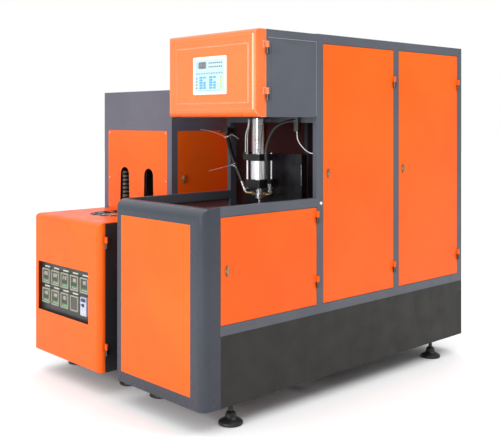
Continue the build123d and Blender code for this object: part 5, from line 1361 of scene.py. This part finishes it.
@dataclass
class OperatorPanel(SubAssembly):
    """Head cover with the film keypad in its white bezel.

    Attributes:
        lift: How far the printed keys stand out of the film.
        corner: Radius of a key's corners, as a share of its shorter side.
        pressed: How far the cover's border lies behind its pressed panel.
        ridge_middle: Middle of the border's outer line as X and Z.
        ridge_size: Length of its level lines and of its upright line.
        ridge_levels: Heights of its level lines.
        ridge_left: Place of its upright line along X.
        ridge_width: Width of the lines.
        highlight_right: Place along X of the broad line painted near white as a highlight.
        highlight_size: Width and height of that painted highlight line.
    """

    lift: float = 0.0007
    corner: float = 0.18
    pressed: float = 0.003
    ridge_middle: Point = (0.452, 1.754)
    ridge_size: Point = (0.618, 0.374)
    ridge_levels: Point = (1.9425, 1.5655)
    ridge_left: float = 0.1415
    ridge_width: float = 0.003
    highlight_right: float = 0.7655
    highlight_size: Point = (0.011, 0.385)

    def key(self, bench: MeshBench, u: float, v: float, block: KeyBlock) -> None:
        """Prints one key.

        Args:
            bench: Mesh to add it to.
            u, v: Its middle, in shares of the film's width and height.
            block: Block that it belongs to.
        """
        low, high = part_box("membrane_keypad")
        size = high - low
        foot = (low.x + u * size.x, low.y, high.z - v * size.z)
        width, height = block.size[0] * size.x, block.size[1] * size.z
        corner = min(width, height) * self.corner
        bench.plate(foot, RIGHT, UP, (width, height), self.lift, corner, 0.0002, block.tone.value)

    def keypad(self) -> None:
        """Prints every block of keys."""
        bench = MeshBench()
        for block in KEY_BLOCKS:
            columns, rows = block.count
            for row in range(rows):
                for column in range(columns):
                    u = block.start[0] + column * block.pitch[0]
                    v = block.start[1] + row * block.pitch[1]
                    self.key(bench, u, v, block)
        tones = [Finish.SCREEN_GREY, Finish.KEY_BLUE, Finish.KEY_PALE, Finish.KEY_LIME, Finish.MARK_GREY]
        self.add(bench, "keypad_print", "head_door", "keypad", tones)

    def ridge(self) -> None:
        """Adds the outer line of the cover's border: raised strips painted lighter as a highlight, broad and
        near white down its right side.
        """
        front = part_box("head_cover")[0].y + self.pressed
        x, z = self.ridge_middle
        across, height = self.ridge_size
        bench = MeshBench()
        for level in self.ridge_levels:
            bench.plate((x, front, level), RIGHT, UP, (across, self.ridge_width), 0.0005)
        bench.plate((self.ridge_left, front, z), RIGHT, UP, (self.ridge_width, height), 0.0005)
        bench.plate((self.highlight_right, front, z), RIGHT, UP, self.highlight_size, 0.0008, 0.004, 0.0004, 1)
        self.add(bench, "cover_ridge_highlights", "head_door", "orange", [Finish.RIDGE_LINE_HIGHLIGHT, Finish.RIDGE_HIGHLIGHT])

    def build(self) -> None:
        """Dresses the cover and prints the keypad."""
        # the cover's coat carries a painted sheen and painted edge highlights
        self.dress("head_cover", Finish.ORANGE_SHEEN)
        self.ridge()
        self.dress("operator_bezel", Finish.BEZEL_WHITE)
        self.dress("membrane_keypad", Finish.FILM)
        self.keypad()


@dataclass(frozen=True)
class Elbow:
    """One elbow at the nozzle.

    Attributes:
        reach: Distance from the nozzle's axis to the bend, to the right or, below 0, to the left.
        lean: Direction of the hose that it carries.
    """

    reach: float
    lean: Point


@dataclass
class BlowUnit(SubAssembly):
    """Ram with the blow chamber, its caps, the nozzle and the hose ends.

    Attributes:
        rod_reach: Distance from the ram's axis to the chamber's rods, along X and Y.
        cap_rise: Distance from the chamber's top to the upper cap's top.
        screw: Radius of the screw heads on the caps.
        collar: Radius of the thin rings round the chamber's ends.
        wiper_gap: Gap between the ram and its wiper.
        wiper_wall: Wall of the wiper.
        wiper_height: Height of the wiper.
        nozzle_level: Height of the elbows.
        pipe: Radius of the elbows' pipe.
        pipe_start: Distance from the nozzle's axis to the pipe's start.
        elbows: The left and the right elbow.
        nut: Radius of the brass nuts.
        hose_nut: Radius of the steel nuts.
        bend_arms: Length of an elbow's bend before and after its middle.
        bend_steps: Number of steps of the bend.
        grooves: Number of grooves in a crimped hose end.
        groove_pitch: Distance between them.
    """

    rod_reach: float = 0.0475
    cap_rise: float = 0.037
    screw: float = 0.007
    collar: float = 0.0535
    wiper_gap: float = 0.0005
    wiper_wall: float = 0.006
    wiper_height: float = 0.007
    nozzle_level: float = 1.095
    pipe: float = 0.0078
    pipe_start: float = 0.024
    elbows: tuple[Elbow, Elbow] = (Elbow(-0.112, (-0.47, 0.0, 0.883)), Elbow(0.088, (0.17, -0.30, 0.939)))
    nut: float = 0.012
    hose_nut: float = 0.0128
    bend_arms: tuple[float, float] = (0.016, 0.014)
    bend_steps: int = 8
    grooves: int = 6
    groove_pitch: float = 0.0065

    def chamber_screws(self) -> None:
        """Puts nuts and socket screws on the two black caps, and a ring round each end of the chamber."""
        low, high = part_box("blow_chamber")
        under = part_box("chamber_caps")[0].z
        middle = (low + high) / 2
        acorn = [(0.0085, 0.0), (0.0085, 0.006), (0.006, 0.008), (0.0, 0.009)]
        bench = MeshBench()
        for dx in (-self.rod_reach, self.rod_reach):
            for dy in (-self.rod_reach, self.rod_reach):
                x, y = middle.x + dx, middle.y + dy
                socket_screw(bench, Vector((x, y, high.z + self.cap_rise)), Vector(UP), self.screw)
                bench.turned(acorn, (x, y, under), DOWN, HEXAGON)
        for z in (low.z, high.z):
            ring = [(self.collar, -0.0015), (self.collar, 0.0015)]
            bench.turned(ring, (middle.x, middle.y, z), sides=64, slot=1)
        self.add(bench, "chamber_screws", "ram", "steel", [Finish.ZINC, Finish.BLACK_OXIDE])

    def wiper(self) -> None:
        """Adds the seal ring under the head that the ram slides through."""
        low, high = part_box("ram_rod")
        middle = (low + high) / 2
        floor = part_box("head_shell")[0].z
        inner = (high.x - low.x) / 2 + self.wiper_gap
        outer = inner + self.wiper_wall
        foot = -self.wiper_height
        profile = [(inner, 0.0), (outer, 0.0), (outer, foot + 0.003), (outer - 0.002, foot), (inner, foot)]
        bench = MeshBench()
        bench.ring(profile, Vector((middle.x, middle.y, floor)))
        self.add(bench, "ram_wiper", "base", "black_metal", [Finish.BLACK_OXIDE])

    def bend(self, start: Vector, turn: Vector, out: Vector, lean: Vector) -> list[Vector]:
        """Line of an elbow's pipe.

        Args:
            start: Point where the pipe starts.
            turn: Point where its two straights would meet.
            out: Direction of the first straight.
            lean: Direction of the second.

        Returns:
            Points from end to end.
        """
        before, after = turn - out * self.bend_arms[0], turn + lean * self.bend_arms[1]
        line = [start, before]
        for step in range(1, self.bend_steps):
            share = step / self.bend_steps
            line.append(before.lerp(turn, share).lerp(turn.lerp(after, share), share))
        return line + [after]

    def crimped_sleeve(self) -> list[Point]:
        """Profile of a crimped hose end.

        Returns:
            Pairs of radius and height, groove by groove.
        """
        sleeve = [(0.0085, 0.0), (0.0105, 0.001)]
        for groove in range(self.grooves):
            at = 0.004 + groove * self.groove_pitch
            sleeve += [(0.0109, at), (0.0109, at + 0.004), (0.0099, at + 0.005)]
        return sleeve + [(0.0108, 0.0445), (0.0104, 0.046), (0.0085, 0.046)]

    def hose_ends(self) -> None:
        """Adds the bent brass elbows with their nuts, and the crimped steel hose ends."""
        low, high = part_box("blow_nozzle")
        axis = Vector(((low.x + high.x) / 2, (low.y + high.y) / 2, self.nozzle_level))
        brass, steel = MeshBench(), MeshBench()
        for elbow in self.elbows:
            lean = Vector(elbow.lean).normalized()
            out = Vector((math.copysign(1.0, elbow.reach), 0.0, 0.0))
            start = axis + out * self.pipe_start
            turn = axis + Vector((elbow.reach, 0.0, 0.0))
            brass.swept(self.bend(start, turn, out, lean), self.pipe)
            brass.turned(nut_profile(self.nut, 0.012, 0.0015), start + out * 0.002, out, HEXAGON)
            brass.turned(nut_profile(self.nut, 0.014, 0.0015), start + out * 0.016, out, HEXAGON)
            steel.turned(nut_profile(self.hose_nut, 0.014, 0.0016), turn + lean * 0.009, lean, HEXAGON)
            steel.turned(self.crimped_sleeve(), turn + lean * 0.023, lean, 40)
        self.add(brass, "brass_elbows", "ram", "brass", [Finish.BRASS], ["nozzle_elbows"])
        self.add(steel, "crimped_hose_ends", "ram", "steel", [Finish.ZINC], ["hose_ends"])

    def build(self) -> None:
        """Dresses the unit and adds its small pieces."""
        self.dress("ram_cylinder", Finish.ALUMINIUM)
        self.dress("ram_rod", Finish.CHROME)
        self.dress("chamber_caps", Finish.BLACK_OXIDE)
        self.dress("blow_chamber", Finish.ALUMINIUM)
        self.dress("blow_nozzle", Finish.NOZZLE_METAL)
        self.dress("stretch_rod", Finish.NOZZLE_METAL)
        self.dress("hose_fittings", Finish.DARK_ZINC)
        self.chamber_screws()
        self.wiper()
        self.hose_ends()


@dataclass
class MouldClamp(SubAssembly):
    """Platens, tie bars and cylinder of the mould clamp, and the air receiver behind them.

    Attributes:
        axis_level: Height of the clamp's axis.
        flange: Thickness of the cylinder's flange on the front plate.
        bolts: Number of its screws.
        bolt_circle: Radius of the circle that they stand on.
        screw: Radius of their heads.
        sill: Height of the bay's sill over the frame's lower edge.
        edge: Width of the bright strip on the rear platen's edge, a painted highlight.
        edge_inset: Distance from its middle to the platen's side.
    """

    axis_level: float = 0.785
    flange: float = 0.024
    bolts: int = 8
    bolt_circle: float = 0.095
    screw: float = 0.007
    sill: float = 0.97
    edge: float = 0.003
    edge_inset: float = 0.002

    def flange_screws(self) -> None:
        """Adds the screws of the cylinder's flange."""
        low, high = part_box("clamp_plate")
        centre = Vector(((low.x + high.x) / 2, high.y + self.flange, self.axis_level))
        bench = MeshBench()
        for i in range(self.bolts):
            angle = 2 * math.pi * (i + 0.5) / self.bolts
            spoke = Vector((math.cos(angle), 0.0, math.sin(angle)))
            socket_screw(bench, centre + spoke * self.bolt_circle, Vector(BACK), self.screw)
        self.add(bench, "flange_screws", "base", "black_metal", [Finish.ZINC, Finish.BLACK_OXIDE])

    def edge_highlight_strip(self) -> None:
        """Adds a bright zinc strip on the rear platen's edge over the sill, as a painted highlight."""
        low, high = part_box("fixed_platen")
        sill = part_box("host_frame")[0].z + self.sill
        middle = (high.x - self.edge_inset, low.y, (sill + high.z) / 2)
        bench = MeshBench()
        bench.plate(middle, RIGHT, UP, (self.edge, high.z - middle[2]), 0.0006)
        self.add(bench, "platen_edge_highlight", "base", "steel", [Finish.ZINC])

    def build(self) -> None:
        """Dresses the clamp and adds its screws and the painted highlight strip on the platen's edge."""
        for node in ("fixed_platen", "moving_platen", "clamp_plate"):
            self.dress(node, Finish.DARK_STEEL)
        self.dress("clamp_cylinder", Finish.BASE_GREY)
        self.dress("clamp_rod", Finish.CHROME)
        self.dress("tie_bars", Finish.CHROME)
        self.dress("air_receiver", Finish.RECEIVER)
        self.flange_screws()
        self.edge_highlight_strip()


@dataclass
class HeaterBody(SubAssembly):
    """Cabinet, oven frame, hood and panels of the preform heater."""

    def build(self) -> None:
        """Dresses the nodes."""
        for node, finish in (
            ("heater_frame", Finish.CABINET_BLACK),
            ("heater_cabinet", Finish.CABINET_BLACK),
            ("oven_frame", Finish.HOOD_GREY),
            ("hood", Finish.HOOD_GREY),
            ("oven_front_panel", Finish.ORANGE),
            ("oven_side_panel", Finish.ORANGE),
            ("track_table", Finish.ORANGE),
        ):
            self.dress(node, finish)


@dataclass
class CarrierTrack(SubAssembly):
    """Preform carriers, their links and the two wheels.

    Attributes:
        groove: Depth of the groove round a carrier.
        groove_span: Heights between which it runs, with its slopes.
        dish: Radius of the dish in a carrier's top.
        dish_depth: Depth of the dish.
        seat: Radius of the seat for a preform's neck.
        seat_depth: Depth of the seat under the carrier's top.
        bore: Radius of the bore at its foot.
        bore_depth: Depth of the bore under the carrier's top.
    """

    groove: float = 0.002
    groove_span: Point = (0.014, 0.024)
    dish: float = 0.0205
    dish_depth: float = 0.002
    seat: float = 0.0142
    seat_depth: float = 0.006
    bore: float = 0.0112
    bore_depth: float = 0.03

    def build(self) -> None:
        """Turns the carriers with their neck sockets and dresses the wheels."""
        bench = MeshBench()
        start, end = self.groove_span
        for low, high in islands("carriers"):
            middle = (low + high) / 2
            radius = (high.x - low.x) / 2
            top = high.z - low.z
            neck = radius - self.groove
            dish, seat, foot = top - self.dish_depth, top - self.seat_depth, top - self.bore_depth
            outer = [(radius - 0.003, 0.0), (radius, 0.002), (radius, start), (neck, start + 0.002)]
            outer += [(neck, end - 0.002), (radius, end), (radius, top - 0.0015), (radius - 0.0015, top)]
            socket = [(self.dish, top), (self.dish - 0.001, dish), (self.seat + 0.0003, dish)]
            socket += [(self.seat, seat), (self.bore + 0.0006, seat), (self.bore, foot), (0.0, foot)]
            bench.turned(outer + socket, (middle.x, middle.y, low.z), sides=36)
        self.add(bench, "carrier_cups", "base", "carrier_black", [Finish.CARRIER], ["carriers"])
        for node in ("chain_links", "front_wheel", "rear_wheel"):
            self.dress(node, Finish.ZINC)


@dataclass
class OvenLamps(SubAssembly):
    """Infrared lamps and their reflectors.

    Attributes:
        tube: Radius of a lamp's tube.
        overlap: Length of the tube's ends inside the ceramic ends.
        grooves: Number of grooves in a ceramic end.
        groove_pitch: Distance between them.
        cap: Radius of a ceramic end.
    """

    tube: float = 0.0055
    overlap: float = 0.02
    grooves: int = 3
    groove_pitch: float = 0.006
    cap: float = 0.009

    def ceramic_end(self) -> list[Point]:
        """Profile of a ceramic end.

        Returns:
            Pairs of radius and height, groove by groove, from its outer face.
        """
        end = [(0.004, 0.0), (0.0075, 0.001)]
        for groove in range(self.grooves):
            at = 0.003 + groove * self.groove_pitch
            end += [(self.cap, at), (self.cap, at + 0.004), (0.0076, at + 0.005)]
        return end + [(0.0085, 0.0215), (0.0065, 0.024)]

    def build(self) -> None:
        """Builds each lamp with its grooved ceramic ends."""
        ceramic, quartz = range(2)
        cap = self.ceramic_end()
        bench = MeshBench()
        for low, high in islands("lamps"):
            middle = (low + high) / 2
            length = high.y - low.y
            start = Vector((middle.x, low.y, middle.z))
            tube = [(self.tube, self.overlap), (self.tube, length - self.overlap)]
            bench.turned(tube, start, BACK, 24, quartz)
            for foot, way in ((start, 1), (start + Vector((0, length, 0)), -1)):
                bench.turned(cap, foot, (0, way, 0), 28, ceramic)
        self.add(bench, "lamp_tubes", "base", "ceramic", [Finish.CERAMIC, Finish.QUARTZ], ["lamps"])
        self.dress("reflectors", Finish.REFLECTOR)


class FaceTone(Enum):
    """Finishes of the controllers' faces, by their numbers in the piece."""

    FACE = 0
    SCREEN = 1
    DIGIT = 2
    GREEN = 3
    LABEL = 4


@dataclass
class ControlWindow(SubAssembly):
    """Control door of the heater with the controllers and the main breaker behind its window.

    Attributes:
        figures: Figures on the controllers' displays, row by row.
        inset: Distance from a controller's front back to its face.
        border: Width of its rim, on both sides together.
        row: Height by which controllers of one row may differ.
        display: Height of a display and its middle over the controller's.
        digit: Height of a figure.
        line: Height of the green line and its middle under the controller's.
        keys: Number of keys under a display.
        key_size: Width and height of a key.
        key_place: Middle of the first key from the controller's, along X and Z.
        key_pitch: Distance between two keys.
        foot_line: Height of the pale line at the foot and its middle under the controller's.
        label: Width and height of the blank label over a controller.
        breaker_screws: Places of the breaker's screws along X.
        screw_levels: Their heights from the breaker's middle.
    """

    figures: Sequence[str] = ("180", "205", "158", "202", "185", "210", "152", "188")
    inset: float = 0.003
    border: float = 0.0164
    row: float = 0.02
    display: Point = (0.026, 0.016)
    digit: float = 0.017
    line: Point = (0.0045, 0.0225)
    keys: int = 4
    key_size: Point = (0.0095, 0.0085)
    key_place: Point = (-0.021, -0.009)
    key_pitch: float = 0.014
    foot_line: Point = (0.003, 0.030)
    label: Point = (0.058, 0.009)
    breaker_screws: Point = (-0.021, 0.0, 0.021)
    screw_levels: Point = (0.047, -0.046)

    def module_face(self, bench: MeshBench, low: Vector, high: Vector, figures: Optional[str]) -> None:
        """Face of one controller.

        Args:
            bench: Mesh to add it to.
            low, high: Corners of the controller's solid.
            figures: Figures on its display, or None for a plain dark screen.
        """
        x, z = (low.x + high.x) / 2, (low.z + high.z) / 2
        width, height = high.x - low.x, high.z - low.z
        face = low.y + self.inset
        screen = FaceTone.SCREEN.value
        if figures is None:
            size = (width - 0.024, height - 0.024)
            bench.plate((x, face, z), RIGHT, UP, size, 0.0012, 0.002, 0.0003, screen)
            return
        tall, rise = self.display
        lift = 0.0016
        bench.plate((x, face, z + rise), RIGHT, UP, (width - 0.026, tall), lift, 0.0015, 0.0003, screen)
        bench.digits(figures, (x, face - lift, z + rise), RIGHT, UP, self.digit, FaceTone.DIGIT.value)
        tall, drop = self.line
        green = FaceTone.GREEN.value
        bench.plate((x, face, z - drop), RIGHT, UP, (width - 0.022, tall), 0.0014, 0.0008, 0.0003, green)
        for column in range(self.keys):
            key = (x + self.key_place[0] + column * self.key_pitch, face, z + self.key_place[1])
            bench.plate(key, RIGHT, UP, self.key_size, 0.0018, 0.0015, 0.0004, FaceTone.FACE.value)
        tall, drop = self.foot_line
        bench.plate((x, face, z - drop), RIGHT, UP, (width - 0.03, tall), 0.0008, slot=FaceTone.LABEL.value)

    def faces(self) -> None:
        """Adds the faces and blank labels of the controllers; the last one of the lower row stays dark."""
        bench = MeshBench()
        modules = islands("controllers")
        lower_row = min(low.z for low, _ in modules) + self.row
        last = max(low.x for low, _ in modules if low.z < lower_row)
        for number, (low, high) in enumerate(modules):
            dark = low.z < lower_row and low.x > last - 0.01
            x, z = (low.x + high.x) / 2, (low.z + high.z) / 2
            size = (high.x - low.x - self.border, high.z - low.z - self.border)
            face = (x, low.y + self.inset + 0.0002, z)
            bench.plate(face, RIGHT, UP, size, 0.0006, slot=FaceTone.FACE.value)
            self.module_face(bench, low, high, None if dark else self.figures[number % len(self.figures)])
            label = (x, high.y, high.z + 0.0105)
            bench.plate(label, RIGHT, UP, self.label, 0.0015, 0.001, 0.0004, FaceTone.LABEL.value)
        tones = [Finish.MODULE_FACE, Finish.MODULE_SCREEN, Finish.DIGIT]
        tones += [Finish.GREEN_LINE, Finish.LABEL_BLANK]
        self.add(bench, "controller_faces", "base", "module", tones)

    def breaker_marks(self) -> None:
        """Adds the breaker's blank field and its screws."""
        low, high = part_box("breaker")
        middle = (low + high) / 2
        front = Vector((middle.x, low.y, middle.z))
        screw = [(0.0045, 0.0), (0.0045, 0.0008), (0.0, 0.0009)]
        blue, zinc = range(2)
        bench = MeshBench()
        bench.plate(front + Vector((0, 0, 0.037)), RIGHT, UP, (0.05, 0.022), 0.0006, 0.001, 0.0002, blue)
        for x in self.breaker_screws:
            for level in self.screw_levels:
                bench.turned(screw, front + Vector((x, 0, level)), FORWARD, 18, zinc)
        self.add(bench, "breaker_marks", "base", "breaker_white", [Finish.DARK_BLUE, Finish.ZINC])

    def build(self) -> None:
        """Dresses the door and builds what shows in its window."""
        self.dress("control_door", Finish.ORANGE)
        self.dress("control_panel", Finish.PLATE_DARK)
        self.dress("controllers", Finish.MODULE_RIM)
        self.dress("breaker", Finish.BREAKER)
        self.dress("breaker_toggle", Finish.DARK_BLUE)
        self.faces()
        self.breaker_marks()


@dataclass
class LevellingFeet(SubAssembly):
    """Levelling feet with rubber bells, threaded stems and lock nuts.

    Attributes:
        pad: Radius and height along the pad's round edge, from the floor up.
        shoulder: The same along the slope of the bell.
        collar: The same along the bell's collar.
        stem: Radius of the thread's crests and of its roots.
        stem_start: Height where the thread starts.
        turns: Number of turns of the thread.
        pitch: Height of one turn.
        nut: Radius and height along a nut.
    """

    pad: Sequence[Point] = (
        (0.0590, 0.0),
        (0.0620, 0.003),
        (0.0620, 0.009),
        (0.0595, 0.015),
        (0.0510, 0.021),
        (0.0410, 0.026),
    )
    shoulder: Sequence[Point] = ((0.0325, 0.032), (0.0285, 0.039))
    collar: Sequence[Point] = (
        (0.0265, 0.047),
        (0.0250, 0.053),
        (0.0225, 0.058),
        (0.0180, 0.062),
        (0.0120, 0.064),
    )
    stem: Point = (0.012, 0.0109)
    stem_start: float = 0.060
    turns: int = 23
    pitch: float = 0.004
    nut: Sequence[Point] = ((0.0180, 0.1025), (0.0206, 0.104), (0.0206, 0.1185), (0.0180, 0.1198))

    def build(self) -> None:
        """Turns every foot in the place of its CAD solid."""
        rubber, zinc = range(2)
        crest, root = self.stem
        thread: list[Point] = []
        for turn in range(self.turns):
            at = self.stem_start + turn * self.pitch
            thread += [(root, at), (crest, at + self.pitch / 2)]
        bench = MeshBench()
        pads = [box for box in islands("levelling_feet") if box[0].z < 0.005]
        for low, high in pads:
            foot = ((low.x + high.x) / 2, (low.y + high.y) / 2, 0)
            bench.turned((*self.pad, *self.shoulder, *self.collar), foot, sides=56, slot=rubber)
            bench.turned(thread, foot, sides=28, slot=zinc)
            bench.turned(self.nut, foot, sides=HEXAGON, slot=zinc)
        tones = [Finish.FOOT_RUBBER, Finish.DARK_ZINC]
        self.add(bench, "turned_feet", "base", "black_metal", tones, ["levelling_feet"])


@dataclass(frozen=True)
class Lamp:
    """One soft studio light.

    Attributes:
        name: Name of the light.
        place: Where it stands.
        target: Point that it faces.
        size: Side of its square, in metres.
        power: Power in watts.
    """

    name: str
    place: Point
    target: Point
    size: float
    power: float

    def build(self) -> None:
        """Adds the light to the scene."""
        data = bpy.data.lights.new(self.name, "AREA")
        data.size = self.size
        data.energy = self.power
        made = bpy.data.objects.new(self.name, data)
        made.location = self.place
        made.rotation_euler = (Vector(self.target) - Vector(self.place)).to_track_quat("-Z", "Y").to_euler()
        bpy.context.scene.collection.objects.link(made)


@dataclass
class Studio(SubAssembly):
    """Floor, lights, backdrop and camera.

    Attributes:
        eye: Place of the camera.
        heading: Direction of the level view, in degrees from +Y towards -X.
        lens: Focal length in millimetres.
        sensor: Width of the sensor in millimetres.
        drop: Vertical shift of the view.
        ground: Side of the square floor.
        ground_depth: Thickness of the floor.
        ground_gap: Gap between the floor and the feet.
        sky: Brightness of the sky over the -X side and over the +X side.
        sky_span: Part of a direction along X over which it falls.
        overhead: Brightness that the top of the sky adds.
        overhead_span: Part of a direction along Z over which it grows.
        lamps: The soft lights.
    """

    eye: Point = (3.7811, -3.5887, 1.508)
    heading: float = 46.94
    lens: float = 59.5
    sensor: float = 36.0
    drop: float = -0.2067
    ground: float = 60.0
    ground_depth: float = 0.0195
    ground_gap: float = 0.0005
    sky: tuple[float, float] = (1.0, 0.34)
    sky_span: tuple[float, float] = (-0.3, 0.6)
    overhead: float = 0.95
    overhead_span: tuple[float, float] = (0.3, 1.0)
    lamps: tuple[Lamp, Lamp] = (
        Lamp("key_light", (1.4, -5.6, 2.1), (0.3, 0.0, 1.2), 1.5, 135.0),
        Lamp("side_light", (3.6, 1.0, 4.0), (0.8, 0.4, 1.6), 1.8, 70.0),
    )

    def floor(self) -> None:
        """Lays the floor."""
        bench = MeshBench()
        foot = (0, 0, -self.ground_depth - self.ground_gap)
        bench.plate(foot, RIGHT, BACK, (self.ground, self.ground), self.ground_depth)
        floor = bench.finish("studio_floor")
        floor.data.materials.append(self.shop.get(Finish.FLOOR))

    def backdrop(self) -> None:
        """Sets up the white sky, brighter over the -X side and overhead."""
        world = bpy.data.worlds.new("studio_sky")
        world.use_nodes = True
        tree = world.node_tree
        sky = tree.nodes["Background"]
        sky.inputs["Color"].default_value = (*PLAIN, 1.0)
        way = tree.nodes.new("ShaderNodeSeparateXYZ")
        tree.links.new(tree.nodes.new("ShaderNodeTexCoord").outputs["Generated"], way.inputs[0])
        total = tree.nodes.new("ShaderNodeMath")
        ramps = (("X", (*self.sky_span, *self.sky)), ("Z", (*self.overhead_span, 0.0, self.overhead)))
        for term, (direction, numbers) in enumerate(ramps):
            ramp = tree.nodes.new("ShaderNodeMapRange")
            tree.links.new(way.outputs[direction], ramp.inputs["Value"])
            for name, number in zip(RANGE_SOCKETS, numbers):
                ramp.inputs[name].default_value = number
            tree.links.new(ramp.outputs["Result"], total.inputs[term])
        tree.links.new(total.outputs[0], sky.inputs["Strength"])
        bpy.context.scene.world = world
        bpy.context.scene.view_settings.view_transform = "Standard"

    def camera(self) -> None:
        """Sets up the camera at the photograph's viewing angle."""
        data = bpy.data.cameras.new("photo_view")
        data.lens = self.lens
        data.sensor_width = self.sensor
        data.shift_y = self.drop
        data.clip_end = 100.0
        camera = bpy.data.objects.new("photo_view", data)
        camera.location = self.eye
        camera.rotation_euler = (math.pi / 2, 0.0, math.radians(self.heading))
        bpy.context.scene.collection.objects.link(camera)
        bpy.context.scene.camera = camera

    def build(self) -> None:
        """Sets up the whole studio."""
        self.floor()
        self.backdrop()
        for lamp in self.lamps:
            lamp.build()
        self.camera()


def corners(box: tuple[Vector, Vector]) -> list[list[float]]:
    """A box as plain lists of numbers."""
    return [[round(c, 6) for c in corner] for corner in box]


def main() -> None:
    """Builds the set piece by piece."""
    logging.basicConfig(level=logging.INFO, format="%(name)s: %(message)s")
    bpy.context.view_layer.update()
    shop = PaintShop()
    Studio(shop).build()
    Hoses(shop).build()
    for part in (
        HoseTies,
        BlowingBody,
        SideDoors,
        OperatorPanel,
        BlowUnit,
        MouldClamp,
        HeaterBody,
        CarrierTrack,
        OvenLamps,
        ControlWindow,
        LevellingFeet,
    ):
        part(shop).build()
        LOG.info("%s done", part.__name__)


if __name__ == "__main__":
    main()
